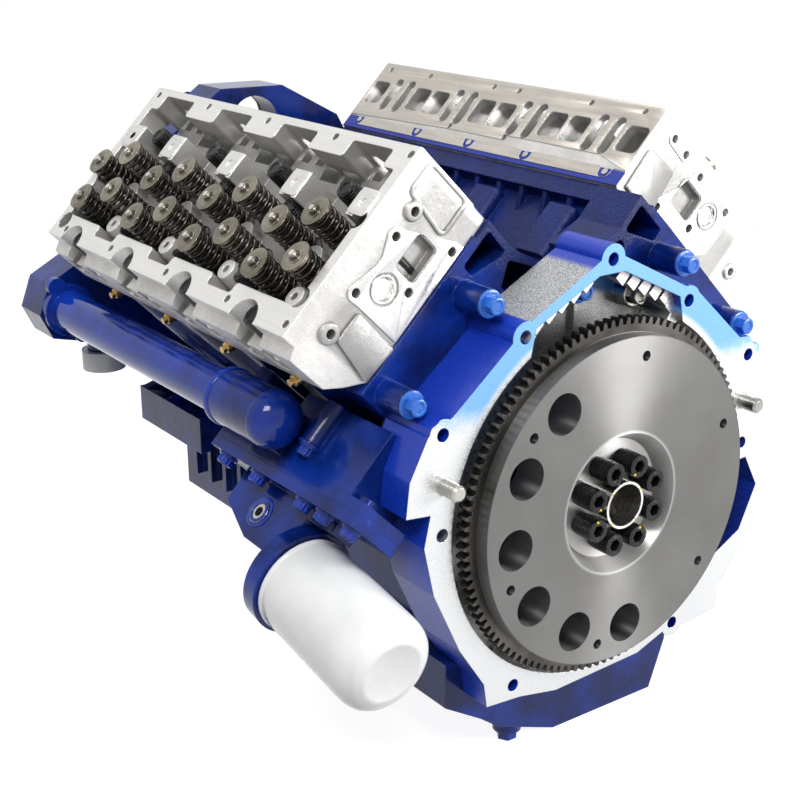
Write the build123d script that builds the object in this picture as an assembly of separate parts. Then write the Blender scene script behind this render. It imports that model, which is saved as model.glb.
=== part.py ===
# A complete 90 degree V8 diesel engine, without rockers, rocker covers or turbocharger.
# Frame: millimetres, +Z up, +Y towards the front of the engine, the crankshaft along Y.
# Y is 0 on the flywheel's rear face, and X and Z are 0 on the crankshaft's axis.
# A bank has its own frame: x is w, across the bank and positive towards the valley, z is t, the
# distance from the crankshaft along the cylinders. The right bank is the left one turned half round.
from build123d import *
import os
from math import atan2, cos, degrees, pi, radians, sin, sqrt

# Cylinders
CYLINDERS = 4
BORE_R = 51.5
PISTON_GAP = 0.08
PITCH = 123.0
STROKE = 99.0
ROD_LENGTH = 163.0
COMPRESSION_HEIGHT = 52.0
DECK_T = 265.5
GASKET = 1.25
FIRST_LEFT_Y = 165.7
STAGGER = 28.0
BANK_ANGLE = 45.0
BARREL_BOTTOM_T = 62.0

# Crankshaft
MAIN_R = 40.0
PIN_R = 31.75
MAIN_WIDTH = 25.0
ROD_WIDTH = 26.0
WEB = 20.0
COUNTERWEIGHT_R = 85.0
FLANGE_R = 52.0
SNOUT_R = 24.0
SNOUT_STEP = 10.0
NOSE_R = 22.0
NOSE_LENGTH = 24.0
SHELL = 2.5
BIG_END_R = 43.5
ROD_BOLT_R = 4.0
WRIST_R = 17.0
RING_PLACES = (8.0, 16.0, 24.0)
RING_HEIGHT = 2.5
RUNNING = 0.05
REST_GAP = 0.3
FLYWHEEL_DEPTH = 36.0
SEAL_JOURNAL_R = 55.0

# Flywheel
DISC_R = 166.9
RING_TEETH = 113
RING_TIP_R = 181.5
RING_ROOT_R = 174.8
RING_SEAT_R = 167.6
RING_Y = 14.6
RING_WIDTH = 13.0
DISH_R = 71.0
DISH_FLOOR_R = 61.0
DISH_DEPTH = 18.0
FLYWHEEL_BOLTS = 8
FLYWHEEL_BOLT_PCD = 80.4
FLYWHEEL_BOLTS_FIRST = 114.8
FLYWHEEL_BOLT_R = 6.6
FLYWHEEL_HEAD_R = 11.2
FLYWHEEL_HEAD = 26.0
PILOT_R = 21.4
PILOT_OUTER_R = 24.0
PILOT_TIP = 5.4
CLUTCH_HOLES = 6
CLUTCH_PCD = 294.1
CLUTCH_HOLE_R = 5.2
CLUTCH_FIRST = 80.8
WINDOW_PCD = 266.4
WINDOW_R = 20.4
WINDOW_FIRST = 125.7
WINDOWS = 6

# Block
BLOCK_REAR = 90.0
BLOCK_FRONT = 645.0
BLOCK_OUTER_W = 75.0
BLOCK_VALLEY_W = 105.0
DECK_LIP_W = 122.0
DECK_LIP = 20.0
SKIRT_X = 130.0
SKIRT_WALL = 12.0
PAN_RAIL_Z = -70.0
VALLEY_FLOOR_Z = 190.0
GALLERY_X = 50.0
GALLERY_R = 10.0
LIP_RIBS = 13
POCKET_DEPTH = 45.0
POCKET_LENGTH = 60.0
CRANKCASE_R = 112.0
CAM_Z = 150.0
CAM_JOURNAL_R = 26.0
CAM_LOBE_R = 24.0
CAM_BAY_R = 30.0
CAP_X = 74.0
CAP_DEPTH = 62.0
CAP_BOLT_X = 58.0
CAP_BOLT_R = 6.0

# Cylinder heads
HEAD_HEIGHT = 101.6
HEAD_REAR_LEFT = 92.9
HEAD_REAR_RIGHT = 130.7
HEAD_LENGTH = 495.0
HEAD_INTAKE_W = 125.2
HEAD_RAIL_W = 82.0
HEAD_EXHAUST_W = 93.0
RAIL_WALL = 14.0
SPRING_SEAT_DEPTH = 38.3
VALVE_STEM_R = 3.5
VALVE_HEAD_R = 13.8
VALVE_TIP = 18.5
VALVES = {"intake": ((32.7, -15.0), (13.4, 31.8)), "exhaust": ((-13.7, -32.9), (-32.5, 16.0))}
RETAINER_R = 15.6
SPRING_R = 12.4
SPRING_WIRE_R = 2.1
SPRING_TURNS = 6.0
HEAD_BOLT_RING = 72.0
HEAD_BOLT_R = 6.0
HEAD_BOLT_SEAT_R = 10.5
HEAD_BOSS_R = 13.0
END_BOLT = 15.0
MIDDLE_BAY_W = 64.0
RAIL_HOLE_R = 4.0
RAIL_HOLE_DEPTH = 16.0
INNER_RAIL_W = 116.0
INNER_RAIL_HOLES = (6.8, 125.7, 248.1, 370.1, 484.6)
OUTER_RAIL_W = -70.0
OUTER_RAIL_HOLES = (8.9, 109.6, 230.0, 352.5, 465.0)
FACE_HOLE_R = 3.5
FACE_HOLES = {
    358.5: (16.7, 98.7, 221.7, 266.7, 386.7, 467.7),
    296.0: (194.7, 293.7),
    280.0: (24.7, 145.7, 244.7, 343.7, 468.7),
}
END_HOLE_R = 4.5
END_HOLE_DEPTH = 10.0
LOW_END_HOLES = ((-10, 334.5), (51.8, 335), (79.5, 335.8), (-52.5, 332), (23.8, 287.8), (79.5, 275))
HIGH_END_HOLES = (
    (-25.8, 348.8), (35, 349), (70, 350.8), (95.5, 351.5), (6.3, 302.5), (62.5, 288.3), (-82, 310),
)
CORE_PLUG_R = 14.0
CORE_PLUG_DEPTH = 4.0
LOW_CORE_PLUG = (10.0, 312.0)
HIGH_CORE_PLUG = (-5.8, 328.0)
LOW_WINDOW = (32.0, 70.0, 290.0, 316.0)
HIGH_WINDOW = (15.0, 51.0, 305.0, 335.0)
HEAD_FACE_W = 62.0
PORT_HEIGHT = 33.0
PORT_WIDTH = 32.0
PORT_MID_T = 323.0
SLOT_WIDTH = 15.0
SLOT_HEIGHT = 48.0
PORT_OFFSET = 43.4
SLOT_OFFSET = 12.8
GLOW_R = 5.5
GLOW_LENGTH = 30.0
GLOW_TERMINAL = 5.0

# Flywheel housing
HOUSING_FACE_Y = 26.0
HOUSING_WALL = 10.0
HOUSING_BORE_R = 187.0
DOWEL_X = 195.0
DOWEL_Z = 57.0
DOWEL_R = 8.0
DOWEL_OUT = 22.0
DOWEL_SHANK_R = 8.5
DOWEL_SHANK = 20.0
DOWEL_CHAMFER = 2.0
HOUSING_HOLES = (
    (0, 236.7), (-104.5, 180), (104.5, 180), (-197.5, 107), (197.5, 107), (-197.5, 10), (197.5, 10),
    (-109.5, -174), (109.5, -174),
)
HOUSING_HOLE_R = 6.5
HOUSING_BOLTS = ((-6, 200), (66, 184))
EAR_R = 15.0
REAR_BOSSES = ((59.4, 235.7), (-57.6, 242.3))
REAR_BOSS_R = 14.0
REAR_BOSS_Y = 54.0
REAR_BOLT_R = 6.0

# Timing gears
GEAR_MODULE = 4.0
CRANK_TEETH = 25
GEAR_FACE = 22.0
GEAR_Y0 = BLOCK_FRONT + 12
COVER_DEPTH = 56.0
COVER_WALL = 8.0
COVER_BOSS = 8.0
PUMP_BORE_R = 39.0
PUMP_BORE_X = -17.0
PUMP_BORE_Z = 288.0
PUMP_BORE_DEPTH = 20.0
PUMP_WELL_R = 33.0

# Oil system and cooling tube
PAN_DEPTH_FRONT = 80.0
PAN_WALL = 5.0
SUMP_FRONT = 340.0
SUMP_REAR = 62.0
PLUG_X = -72.0
PLUG_Z = -260.5
FILTER_R = 48.5
FILTER_LENGTH = 149.0
FILTER_TILT = 11.0
FILTER_X = -284.8
FILTER_Y = 127.0
FILTER_Z = -53.0
TUBE_R = 23.6
TUBE_WALL = 3.0
TUBE_X = -280.0
TUBE_Z = 95.2
TUBE_REAR = 235.0
CAP_R = 26.0
PORT_X = -226.0
CAP_TOP_Z = 30.0
COOLER_T0 = 168.0
COOLER_T1 = 230.0
COOLER_W0 = -152.0
COOLER_Y0 = 66.0
COOLER_Y1 = 205.0
FLANGE = 12.0
FLANGE_Y0 = 42.0
FLANGE_Y1 = 290.0
BOLT_T = 214.0
COOLER_BOLTS = (55.0, 98.0, 132.0, 213.0, 274.0)
ARM_T1 = 200.0
ARM_PLUG_Y = 197.0

HEAD_BOTTOM_T = DECK_T + GASKET
RAIL_T = HEAD_BOTTOM_T + HEAD_HEIGHT
SEAT_T = RAIL_T - SPRING_SEAT_DEPTH
HEAD_BOLT_SEAT_T = SEAT_T + 8
VALVE_FACE_T = HEAD_BOTTOM_T + 0.4
RETAINER_T = RAIL_T + 10.0
CRANK_R = STROKE / 2
FIRST_PIN_Y = FIRST_LEFT_Y + STAGGER / 2
PIN_ANGLES = (90.0, 0.0, 180.0, 270.0)
LEFT = Rot(0, -BANK_ANGLE, 0)
RIGHT = Rot(0, 0, 180) * LEFT


def box(x0, x1, y0, y1, z0, z1):
    return Pos((x0 + x1) / 2, (y0 + y1) / 2, (z0 + z1) / 2) * Box(x1 - x0, y1 - y0, z1 - z0)


def rod_y(radius, y0, y1, x=0.0, z=0.0):
    return Pos(x, (y0 + y1) / 2, z) * Rot(90, 0, 0) * Cylinder(radius, y1 - y0)


def rod_z(radius, z0, z1, x=0.0, y=0.0):
    return Pos(x, y, (z0 + z1) / 2) * Cylinder(radius, z1 - z0)


def along_y(face, y0, y1):
    return extrude(Plane.XZ.offset(-y0) * face, amount=y0 - y1)


def outline(*points):
    return make_face(Polyline(*points, close=True))


def hexagon(across, height, z0, x=0.0, y=0.0):
    return Pos(x, y, z0) * extrude(RegularPolygon(across / sqrt(3), 6), amount=height)


def cylinder_y(side, index):
    rear = FIRST_LEFT_Y if side == "left" else FIRST_LEFT_Y + STAGGER
    return rear + PITCH * index


def bank_y(side, y):
    return y if side == "left" else -y


def bank(side, shape):
    return (LEFT if side == "left" else RIGHT) * shape


def main_y(index):
    return FIRST_PIN_Y + PITCH * (index - 0.5)


def head_ends(side):
    rear = HEAD_REAR_LEFT if side == "left" else HEAD_REAR_RIGHT
    ends = (bank_y(side, rear), bank_y(side, rear + HEAD_LENGTH))
    return min(ends), max(ends)


def bank_rows(side):
    return [bank_y(side, cylinder_y(side, index)) for index in range(CYLINDERS)]


def head_bolt_places(side):
    y0, y1 = head_ends(side)
    rows = bank_rows(side)
    places = [(w, y) for y in rows for w in (HEAD_BOLT_RING, -HEAD_BOLT_RING)]
    for index in range(CYLINDERS + 1):
        y = bank_y(side, cylinder_y(side, index) - PITCH / 2)
        y = min(max(y, y0 + END_BOLT), y1 - END_BOLT)
        across = sqrt(HEAD_BOLT_RING**2 - min(abs(y - row) for row in rows) ** 2)
        places += [(across, y), (-across, y)]
    return places


def outboard_bolts(side):
    return [(w, y) for w, y in head_bolt_places(side) if w <= -HEAD_FACE_W]


def valve_places(side, index, kind):
    y = bank_y(side, cylinder_y(side, index))
    return [(w, y + dy) for w, dy in VALVES[kind]]


# Block
def crankcase():
    shoulder = SKIRT_X - 6
    face = outline(
        (-SKIRT_X, PAN_RAIL_Z), (SKIRT_X, PAN_RAIL_Z), (SKIRT_X, 24), (40, VALLEY_FLOOR_Z),
        (-40, VALLEY_FLOOR_Z), (-SKIRT_X, 24),
    )
    rail = outline(
        (-SKIRT_X - 14, PAN_RAIL_Z), (SKIRT_X + 14, PAN_RAIL_Z), (SKIRT_X + 14, PAN_RAIL_Z + 12),
        (shoulder, PAN_RAIL_Z + 26), (-shoulder, PAN_RAIL_Z + 26), (-SKIRT_X - 14, PAN_RAIL_Z + 12),
    )
    return along_y(face, BLOCK_REAR, BLOCK_FRONT) + along_y(rail, BLOCK_REAR, BLOCK_FRONT)


def bank_body(side):
    y0, y1 = sorted((bank_y(side, BLOCK_REAR), bank_y(side, BLOCK_FRONT)))
    lip_y0, lip_y1 = head_ends(side)
    body = box(-BLOCK_OUTER_W, BLOCK_VALLEY_W, y0, y1, BARREL_BOTTOM_T, DECK_T)
    body += box(-BLOCK_OUTER_W, DECK_LIP_W, lip_y0, lip_y1, DECK_T - DECK_LIP, DECK_T)
    extras = [rod_z(HEAD_BOSS_R, 120, DECK_T, w, y) for w, y in outboard_bolts(side)]
    for y in bank_rows(side):
        bulge = Pos(BLOCK_VALLEY_W, y, 205) * Box(26, 44, 62)
        rib = box(-BLOCK_OUTER_W - 8, -BLOCK_OUTER_W + 2, y - 4, y + 4, 110, DECK_T - 12)
        extras += [fillet(bulge.edges().filter_by(Axis.Z), 8), rib]
    spacing = (lip_y1 - lip_y0) / LIP_RIBS
    for index in range(LIP_RIBS):
        y = lip_y0 + spacing * (index + 0.5)
        low = DECK_T - DECK_LIP
        wall = BLOCK_VALLEY_W - 2
        rib = outline((wall, low - 26), (DECK_LIP_W - 3, low + 1), (wall, low + 1))
        extras.append(along_y(rib, y - 3, y + 3))
    for w, t in REAR_BOSSES:
        boss_y0, boss_y1 = sorted((bank_y(side, REAR_BOSS_Y), bank_y(side, BLOCK_REAR + 1)))
        extras.append(rod_y(REAR_BOSS_R, boss_y0, boss_y1, w, t))
    return body + extras + [rear_web(side)] - rear_cuts(side)


def rear_web(side):
    y0, y1 = sorted((bank_y(side, BLOCK_REAR), bank_y(side, BLOCK_REAR + POCKET_LENGTH)))
    top = DECK_T - 3
    face = outline((70, top), (126, top), (124, 222), (138, 180), (96, 152), (70, 170))
    return along_y(face, y0, y1)


def rear_cuts(side):
    y0, y1 = sorted((bank_y(side, BLOCK_REAR - 1), bank_y(side, BLOCK_REAR + POCKET_DEPTH)))
    upper = outline((77, 256), (119, 256), (117, 224), (77, 242))
    lower = outline((114, 217), (130, 183), (92, 166), (90, 205))
    low, high = sorted((bank_y(side, REAR_BOSS_Y - 1), bank_y(side, BLOCK_REAR + 10)))
    holes = [rod_y(REAR_BOLT_R, low, high, w, t) for w, t in REAR_BOSSES]
    return [along_y(fillet(face.vertices(), 4), y0, y1) for face in (upper, lower)] + holes


def engine_block():
    block = crankcase() + bank("left", bank_body("left")) + bank("right", bank_body("right"))
    for x in (-GALLERY_X, GALLERY_X):
        block += rod_y(GALLERY_R, BLOCK_REAR + 20, BLOCK_FRONT, x, VALLEY_FLOOR_Z)
    inside_x = SKIRT_X - SKIRT_WALL
    y0, y1 = BLOCK_REAR + SKIRT_WALL, BLOCK_FRONT - SKIRT_WALL
    cuts = [box(-inside_x, inside_x, y0, y1, PAN_RAIL_Z - 1, 0)]
    for index in range(CYLINDERS):
        bay0 = main_y(index) + MAIN_WIDTH / 2
        bay1 = main_y(index + 1) - MAIN_WIDTH / 2
        cuts += [rod_y(CRANKCASE_R, bay0, bay1), rod_y(CAM_BAY_R, bay0, bay1, 0, CAM_Z)]
    cuts.append(rod_y(MAIN_R + RUNNING + SHELL, BLOCK_REAR - 1, BLOCK_FRONT + 1))
    cuts.append(rod_y(SEAL_JOURNAL_R + 12, BLOCK_REAR - 1, y0))
    cuts.append(rod_y(CAM_JOURNAL_R + RUNNING, y0, BLOCK_FRONT + 1, 0, CAM_Z))
    for side in ("left", "right"):
        for y in bank_rows(side):
            cuts.append(bank(side, rod_z(BORE_R, BARREL_BOTTOM_T, DECK_T + 1, 0, y)))
        for w, y in head_bolt_places(side):
            cuts.append(bank(side, rod_z(HEAD_BOLT_R, DECK_T - 62, DECK_T + 1, w, y)))
    return block - cuts


def main_bearing_cap(index):
    y = main_y(index)
    cap = box(-CAP_X, CAP_X, y - MAIN_WIDTH / 2, y + MAIN_WIDTH / 2, -CAP_DEPTH, 0)
    cap = chamfer(cap.edges().filter_by(Axis.Y).sort_by(Axis.Z)[:2], 14)
    cap -= rod_y(MAIN_R + RUNNING + SHELL, y - MAIN_WIDTH, y + MAIN_WIDTH)
    for x in (-CAP_BOLT_X, CAP_BOLT_X):
        cap -= rod_z(CAP_BOLT_R, -CAP_DEPTH - 1, 1, x, y)
    return cap


def main_cap_bolt(index, x):
    bolt = rod_z(CAP_BOLT_R, -CAP_DEPTH, 0, x, main_y(index))
    return bolt + hexagon(19, -10, -CAP_DEPTH, x, main_y(index))


def main_shells(index):
    y0 = main_y(index) - MAIN_WIDTH / 2 + 1
    y1 = main_y(index) + MAIN_WIDTH / 2 - 1
    ring = rod_y(MAIN_R + RUNNING + SHELL, y0, y1) - rod_y(MAIN_R + RUNNING, y0 - 1, y1 + 1)
    upper = ring & box(-60, 60, y0, y1, 0, 60)
    return [upper, ring - upper]


# Crankshaft
def web_face(angle):
    pin = Pos(CRANK_R, 0) * Circle(PIN_R + 9)
    face = Circle(MAIN_R + 9) + pin + Pos(CRANK_R / 2, 0) * Rectangle(CRANK_R, 2 * PIN_R + 12)
    weight = Circle(COUNTERWEIGHT_R) & (Pos(-50, 0) * Rectangle(84, 2 * COUNTERWEIGHT_R - 12))
    return Rot(0, 0, angle) * (face + weight)


def web(angle, y0, y1):
    return along_y(web_face(angle), y0, y1)


def crank_section(index):
    y = main_y(index)
    half = PITCH / 2 - STAGGER
    journal0 = y - half + WEB
    journal1 = y + half - WEB
    if index == 0:
        journal0 = FLYWHEEL_DEPTH
    if index == CYLINDERS:
        journal1 = BLOCK_FRONT - 4
    section = rod_y(MAIN_R, journal0, journal1)
    if index == 0:
        section += rod_y(FLANGE_R, FLYWHEEL_DEPTH, BLOCK_REAR + SKIRT_WALL - 2)
        section -= rod_y(PILOT_R, FLYWHEEL_DEPTH - 1, FLYWHEEL_DEPTH + 30)
        for place in PolarLocations(FLYWHEEL_BOLT_PCD / 2, FLYWHEEL_BOLTS, FLYWHEEL_BOLTS_FIRST):
            x, z = place.position.X, place.position.Y
            section -= rod_y(FLYWHEEL_BOLT_R, FLYWHEEL_DEPTH - 1, FLYWHEEL_DEPTH + 28, x, z)
    else:
        section += web(PIN_ANGLES[index - 1], y - half, y - half + WEB)
    if index == CYLINDERS:
        step = BLOCK_FRONT + COVER_DEPTH + SNOUT_STEP
        section += rod_y(SNOUT_R, journal1, step) + rod_y(NOSE_R, step, step + NOSE_LENGTH)
    else:
        section += web(PIN_ANGLES[index], y + half - WEB, y + half)
    return section


def camshaft():
    shaft = rod_y(CAM_LOBE_R - 8, main_y(0) - 10, GEAR_Y0 + GEAR_FACE, 0, CAM_Z)
    for index in range(CYLINDERS + 1):
        y = main_y(index)
        shaft += rod_y(CAM_JOURNAL_R, y - MAIN_WIDTH / 2, y + MAIN_WIDTH / 2, 0, CAM_Z)
    for index in range(4 * CYLINDERS):
        cylinder, lobe = divmod(index, 4)
        y = main_y(cylinder) + 26 + 22 * lobe
        face = Circle(CAM_LOBE_R - 6) + Pos(9, 0) * Circle(CAM_LOBE_R - 9)
        turn = Pos(0, CAM_Z) * Rot(0, 0, 90 * cylinder + 50 * lobe)
        shaft += along_y(turn * face, y - 7, y + 7)
    return shaft


def gear_face(teeth, first=0.0):
    pitch_r = GEAR_MODULE * teeth / 2
    root_r = pitch_r - 1.25 * GEAR_MODULE
    tip_r = pitch_r + 0.9 * GEAR_MODULE
    foot = 0.60 * pi * GEAR_MODULE / 2
    crest = 0.22 * pi * GEAR_MODULE / 2
    tooth = outline((root_r - 1, -foot), (tip_r, -crest), (tip_r, crest), (root_r - 1, foot))
    turns = [Rot(0, 0, first + 360 * index / teeth) for index in range(teeth)]
    return Circle(root_r) + [turn * tooth for turn in turns]


def crank_gear():
    gear = along_y(gear_face(CRANK_TEETH, 90.0), GEAR_Y0, GEAR_Y0 + GEAR_FACE)
    return gear - rod_y(SNOUT_R, GEAR_Y0 - 1, GEAR_Y0 + GEAR_FACE + 1)


def cam_gear():
    teeth = 2 * CRANK_TEETH
    face = gear_face(teeth, -90.0 + 180.0 / teeth)
    gear = along_y(Pos(0, CAM_Z) * face, GEAR_Y0, GEAR_Y0 + GEAR_FACE)
    for index in range(5):
        angle = radians(18 + 72 * index)
        gear -= rod_y(17, GEAR_Y0 - 1, GEAR_Y0 + 40, 60 * cos(angle), CAM_Z + 60 * sin(angle))
    return gear - rod_y(CAM_LOBE_R - 8, GEAR_Y0 - 1, GEAR_Y0 + GEAR_FACE + 1, 0, CAM_Z)


# Flywheel
def ring_places(pcd, count, first):
    for index in range(count):
        angle = radians(first + 360.0 * index / count)
        yield pcd / 2 * cos(angle), pcd / 2 * sin(angle)


def flywheel():
    profile = outline(
        (PILOT_OUTER_R, DISH_DEPTH), (DISH_FLOOR_R, DISH_DEPTH), (DISH_R, 0), (DISC_R, 0),
        (DISC_R, RING_Y), (RING_SEAT_R, RING_Y), (RING_SEAT_R, RING_Y + RING_WIDTH),
        (RING_SEAT_R - 8, FLYWHEEL_DEPTH), (PILOT_OUTER_R, FLYWHEEL_DEPTH),
    )
    wheel = revolve(profile, Axis.Y)
    for x, z in ring_places(CLUTCH_PCD, CLUTCH_HOLES, CLUTCH_FIRST):
        wheel -= rod_y(CLUTCH_HOLE_R, -1, FLYWHEEL_DEPTH + 1, x, z)
    for index in range(WINDOWS):
        angle = radians(WINDOW_FIRST + 30.0 * index)
        x, z = WINDOW_PCD / 2 * cos(angle), WINDOW_PCD / 2 * sin(angle)
        wheel -= rod_y(WINDOW_R, -1, FLYWHEEL_DEPTH + 1, x, z)
    for x, z in ring_places(FLYWHEEL_BOLT_PCD, FLYWHEEL_BOLTS, FLYWHEEL_BOLTS_FIRST):
        wheel -= rod_y(FLYWHEEL_BOLT_R, DISH_DEPTH - 1, FLYWHEEL_DEPTH + 1, x, z)
    return wheel


def ring_gear():
    pitch = 2 * pi * RING_ROOT_R / RING_TEETH
    tooth = outline(
        (RING_ROOT_R - 1, -0.34 * pitch), (RING_TIP_R, -0.15 * pitch),
        (RING_TIP_R, 0.15 * pitch), (RING_ROOT_R - 1, 0.34 * pitch),
    )
    face = Circle(RING_ROOT_R) - Circle(RING_SEAT_R)
    face += [Rot(0, 0, 360 * index / RING_TEETH) * tooth for index in range(RING_TEETH)]
    return along_y(face, RING_Y, RING_Y + RING_WIDTH)


def flywheel_bolt(x, z):
    bolt = rod_y(FLYWHEEL_BOLT_R, DISH_DEPTH, FLYWHEEL_DEPTH + 26, x, z)
    bolt += rod_y(FLYWHEEL_HEAD_R, DISH_DEPTH - FLYWHEEL_HEAD, DISH_DEPTH, x, z)
    socket = extrude(RegularPolygon(6.6, 6), amount=9)
    return bolt - Pos(x, DISH_DEPTH - FLYWHEEL_HEAD, z) * Rot(-90, 0, 0) * socket


def pilot_sleeve():
    outer = rod_y(PILOT_OUTER_R, -PILOT_TIP, FLYWHEEL_DEPTH)
    return outer - rod_y(PILOT_R, -PILOT_TIP - 1, FLYWHEEL_DEPTH + 1)


# Piston with its rod and its half of the crankpin
def pin_place(side, index):
    angle = radians(PIN_ANGLES[index])
    x, z = CRANK_R * cos(angle), CRANK_R * sin(angle)
    sign = 1 if side == "left" else -1
    return (sign * x + z) / sqrt(2), (z - sign * x) / sqrt(2)


def wrist_t(side, index):
    w, t = pin_place(side, index)
    return t + sqrt(ROD_LENGTH**2 - w**2)


def piston(t, y):
    top = t + COMPRESSION_HEIGHT
    body = rod_z(BORE_R - PISTON_GAP, t - 24, top, 0, y)
    body -= rod_z(BORE_R - 9, t - 25, t + 28, 0, y)
    body += box(-19, 19, y - BORE_R + 6, y - 15, t - 19, t + 30)
    body += box(-19, 19, y + 15, y + BORE_R - 6, t - 19, t + 30)
    body -= rod_z(30, top - 15, top + 1, 0, y)
    body -= rod_y(WRIST_R, y - BORE_R - 1, y + BORE_R + 1, 0, t)
    for ring in RING_PLACES:
        groove = rod_z(BORE_R + 1, top - ring - RING_HEIGHT, top - ring, 0, y)
        body -= groove - rod_z(BORE_R - 4, top - ring - 3, top - ring + 1, 0, y)
    return body


def piston_rings(t, y):
    rings = []
    for place in RING_PLACES:
        z = t + COMPRESSION_HEIGHT - place
        ring = rod_z(BORE_R - PISTON_GAP / 2, z - RING_HEIGHT, z, 0, y)
        rings.append(ring - rod_z(BORE_R - 4, z - 3, z + 1, 0, y))
    return rings


def rod_parts(y):
    y0, y1 = y - ROD_WIDTH / 2, y + ROD_WIDTH / 2
    bore = rod_y(PIN_R + RUNNING + SHELL, y0 - 1, y1 + 1)
    eye = rod_y(BIG_END_R, y0, y1) + box(-BIG_END_R, BIG_END_R, y0, y1, -16, 16)
    beam = outline((-15, 28), (15, 28), (12, ROD_LENGTH - 12), (-12, ROD_LENGTH - 12))
    shank = along_y(beam, y0 + 5, y1 - 5)
    small = rod_y(25, y0, y1, 0, ROD_LENGTH)
    bolt_x = PIN_R + RUNNING + SHELL + ROD_BOLT_R + REST_GAP
    bolts = [rod_z(ROD_BOLT_R, -22, 22, x, y) + hexagon(12, -7, -16, x, y) for x in (-bolt_x, bolt_x)]
    rod = eye & box(-60, 60, y0, y1, 0, 60)
    rod = rod + shank + small - bore - rod_y(WRIST_R, y0 - 1, y1 + 1, 0, ROD_LENGTH)
    cap = eye - box(-60, 60, y0 - 1, y1 + 1, 0, 60) - bore
    for x in (-bolt_x, bolt_x):
        rod -= rod_z(ROD_BOLT_R, -1, 22, x, y)
        cap -= [rod_z(ROD_BOLT_R, -17, 1, x, y), rod_z(8.5, -30, -16, x, y)]
    ring = rod_y(PIN_R + RUNNING + SHELL, y0 + 1, y1 - 1) - rod_y(PIN_R + RUNNING, y0, y1)
    upper = ring & box(-60, 60, y0, y1, 0, 60)
    return [rod, cap, upper, ring - upper] + bolts


def crankpin_half(side, index):
    y = cylinder_y(side, index)
    middle = FIRST_PIN_Y + PITCH * index
    end = STAGGER - REST_GAP
    y0, y1 = (middle - end, middle - REST_GAP) if side == "left" else (middle + REST_GAP, middle + end)
    low, high = sorted((bank_y(side, y0), bank_y(side, y1)))
    return rod_y(PIN_R, low, high)


def piston_assembly(side, index):
    y = bank_y(side, cylinder_y(side, index))
    w, t = pin_place(side, index)
    top_t = wrist_t(side, index)
    turn = Pos(w, 0, t) * Rot(0, degrees(atan2(-w, top_t - t)), 0)
    rod = [turn * piece for piece in rod_parts(y)]
    wrist_pin = rod_y(WRIST_R, y - BORE_R + 8, y + BORE_R - 8, 0, top_t)
    pieces = [piston(top_t, y), wrist_pin] + piston_rings(top_t, y) + rod
    pieces.append(Pos(w, 0, t) * crankpin_half(side, index))
    return [bank(side, piece) for piece in pieces]


# Cylinder heads
def head_section():
    return outline(
        (HEAD_INTAKE_W, HEAD_BOTTOM_T), (HEAD_INTAKE_W, RAIL_T), (-HEAD_RAIL_W, RAIL_T),
        (-HEAD_RAIL_W, RAIL_T - 16), (-HEAD_EXHAUST_W, RAIL_T - 20), (-HEAD_EXHAUST_W, 302),
        (-80, 285), (-HEAD_FACE_W, HEAD_BOTTOM_T),
    )


def flat(w0, w1, y0, y1):
    return Pos((w0 + w1) / 2, (y0 + y1) / 2) * Rectangle(w1 - w0, y1 - y0)


def head_cavity(side):
    y0, y1 = head_ends(side)
    face = flat(-52, 98, y0 + RAIL_WALL, y1 - RAIL_WALL)
    for y in bank_rows(side):
        face += flat(90, 117, y - 40, y + 24)
    for y in bank_rows(side)[1:]:
        middle = y - bank_y(side, PITCH / 2)
        face += flat(-MIDDLE_BAY_W, -50, middle - 22, middle + 22)
    cavity = Pos(0, 0, SEAT_T) * extrude(fillet(face.vertices(), 4), amount=RAIL_T + 1 - SEAT_T)
    kept = [rod_z(HEAD_BOSS_R, SEAT_T - 1, HEAD_BOLT_SEAT_T, w, y) for w, y in head_bolt_places(side)]
    for y in boundary_rows(side):
        kept.append(box(44, 74, y - 14, y + 14, SEAT_T, RAIL_T + 2))
    kept += [rod_z(14, SEAT_T - 1, SEAT_T + 16, 2, y) for y in bank_rows(side)]
    return cavity - kept


def boundary_rows(side):
    y0, y1 = head_ends(side)
    rows = [bank_y(side, cylinder_y(side, index) - PITCH / 2) for index in range(CYLINDERS + 1)]
    return [min(max(y, y0 + 22), y1 - 22) for y in rows]


def end_cuts(y, inward, holes, plug, window):
    deep = y + inward * END_HOLE_DEPTH
    span = sorted((y - inward, deep))
    cuts = [rod_y(END_HOLE_R, *span, w, t) for w, t in holes]
    cuts.append(rod_y(CORE_PLUG_R, *sorted((y - inward, y + inward * CORE_PLUG_DEPTH)), *plug))
    w0, w1, t0, t1 = window
    face = Pos((w0 + w1) / 2, (t0 + t1) / 2) * RectangleRounded(w1 - w0, t1 - t0, 5)
    return cuts + [along_y(face, *span)]


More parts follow.
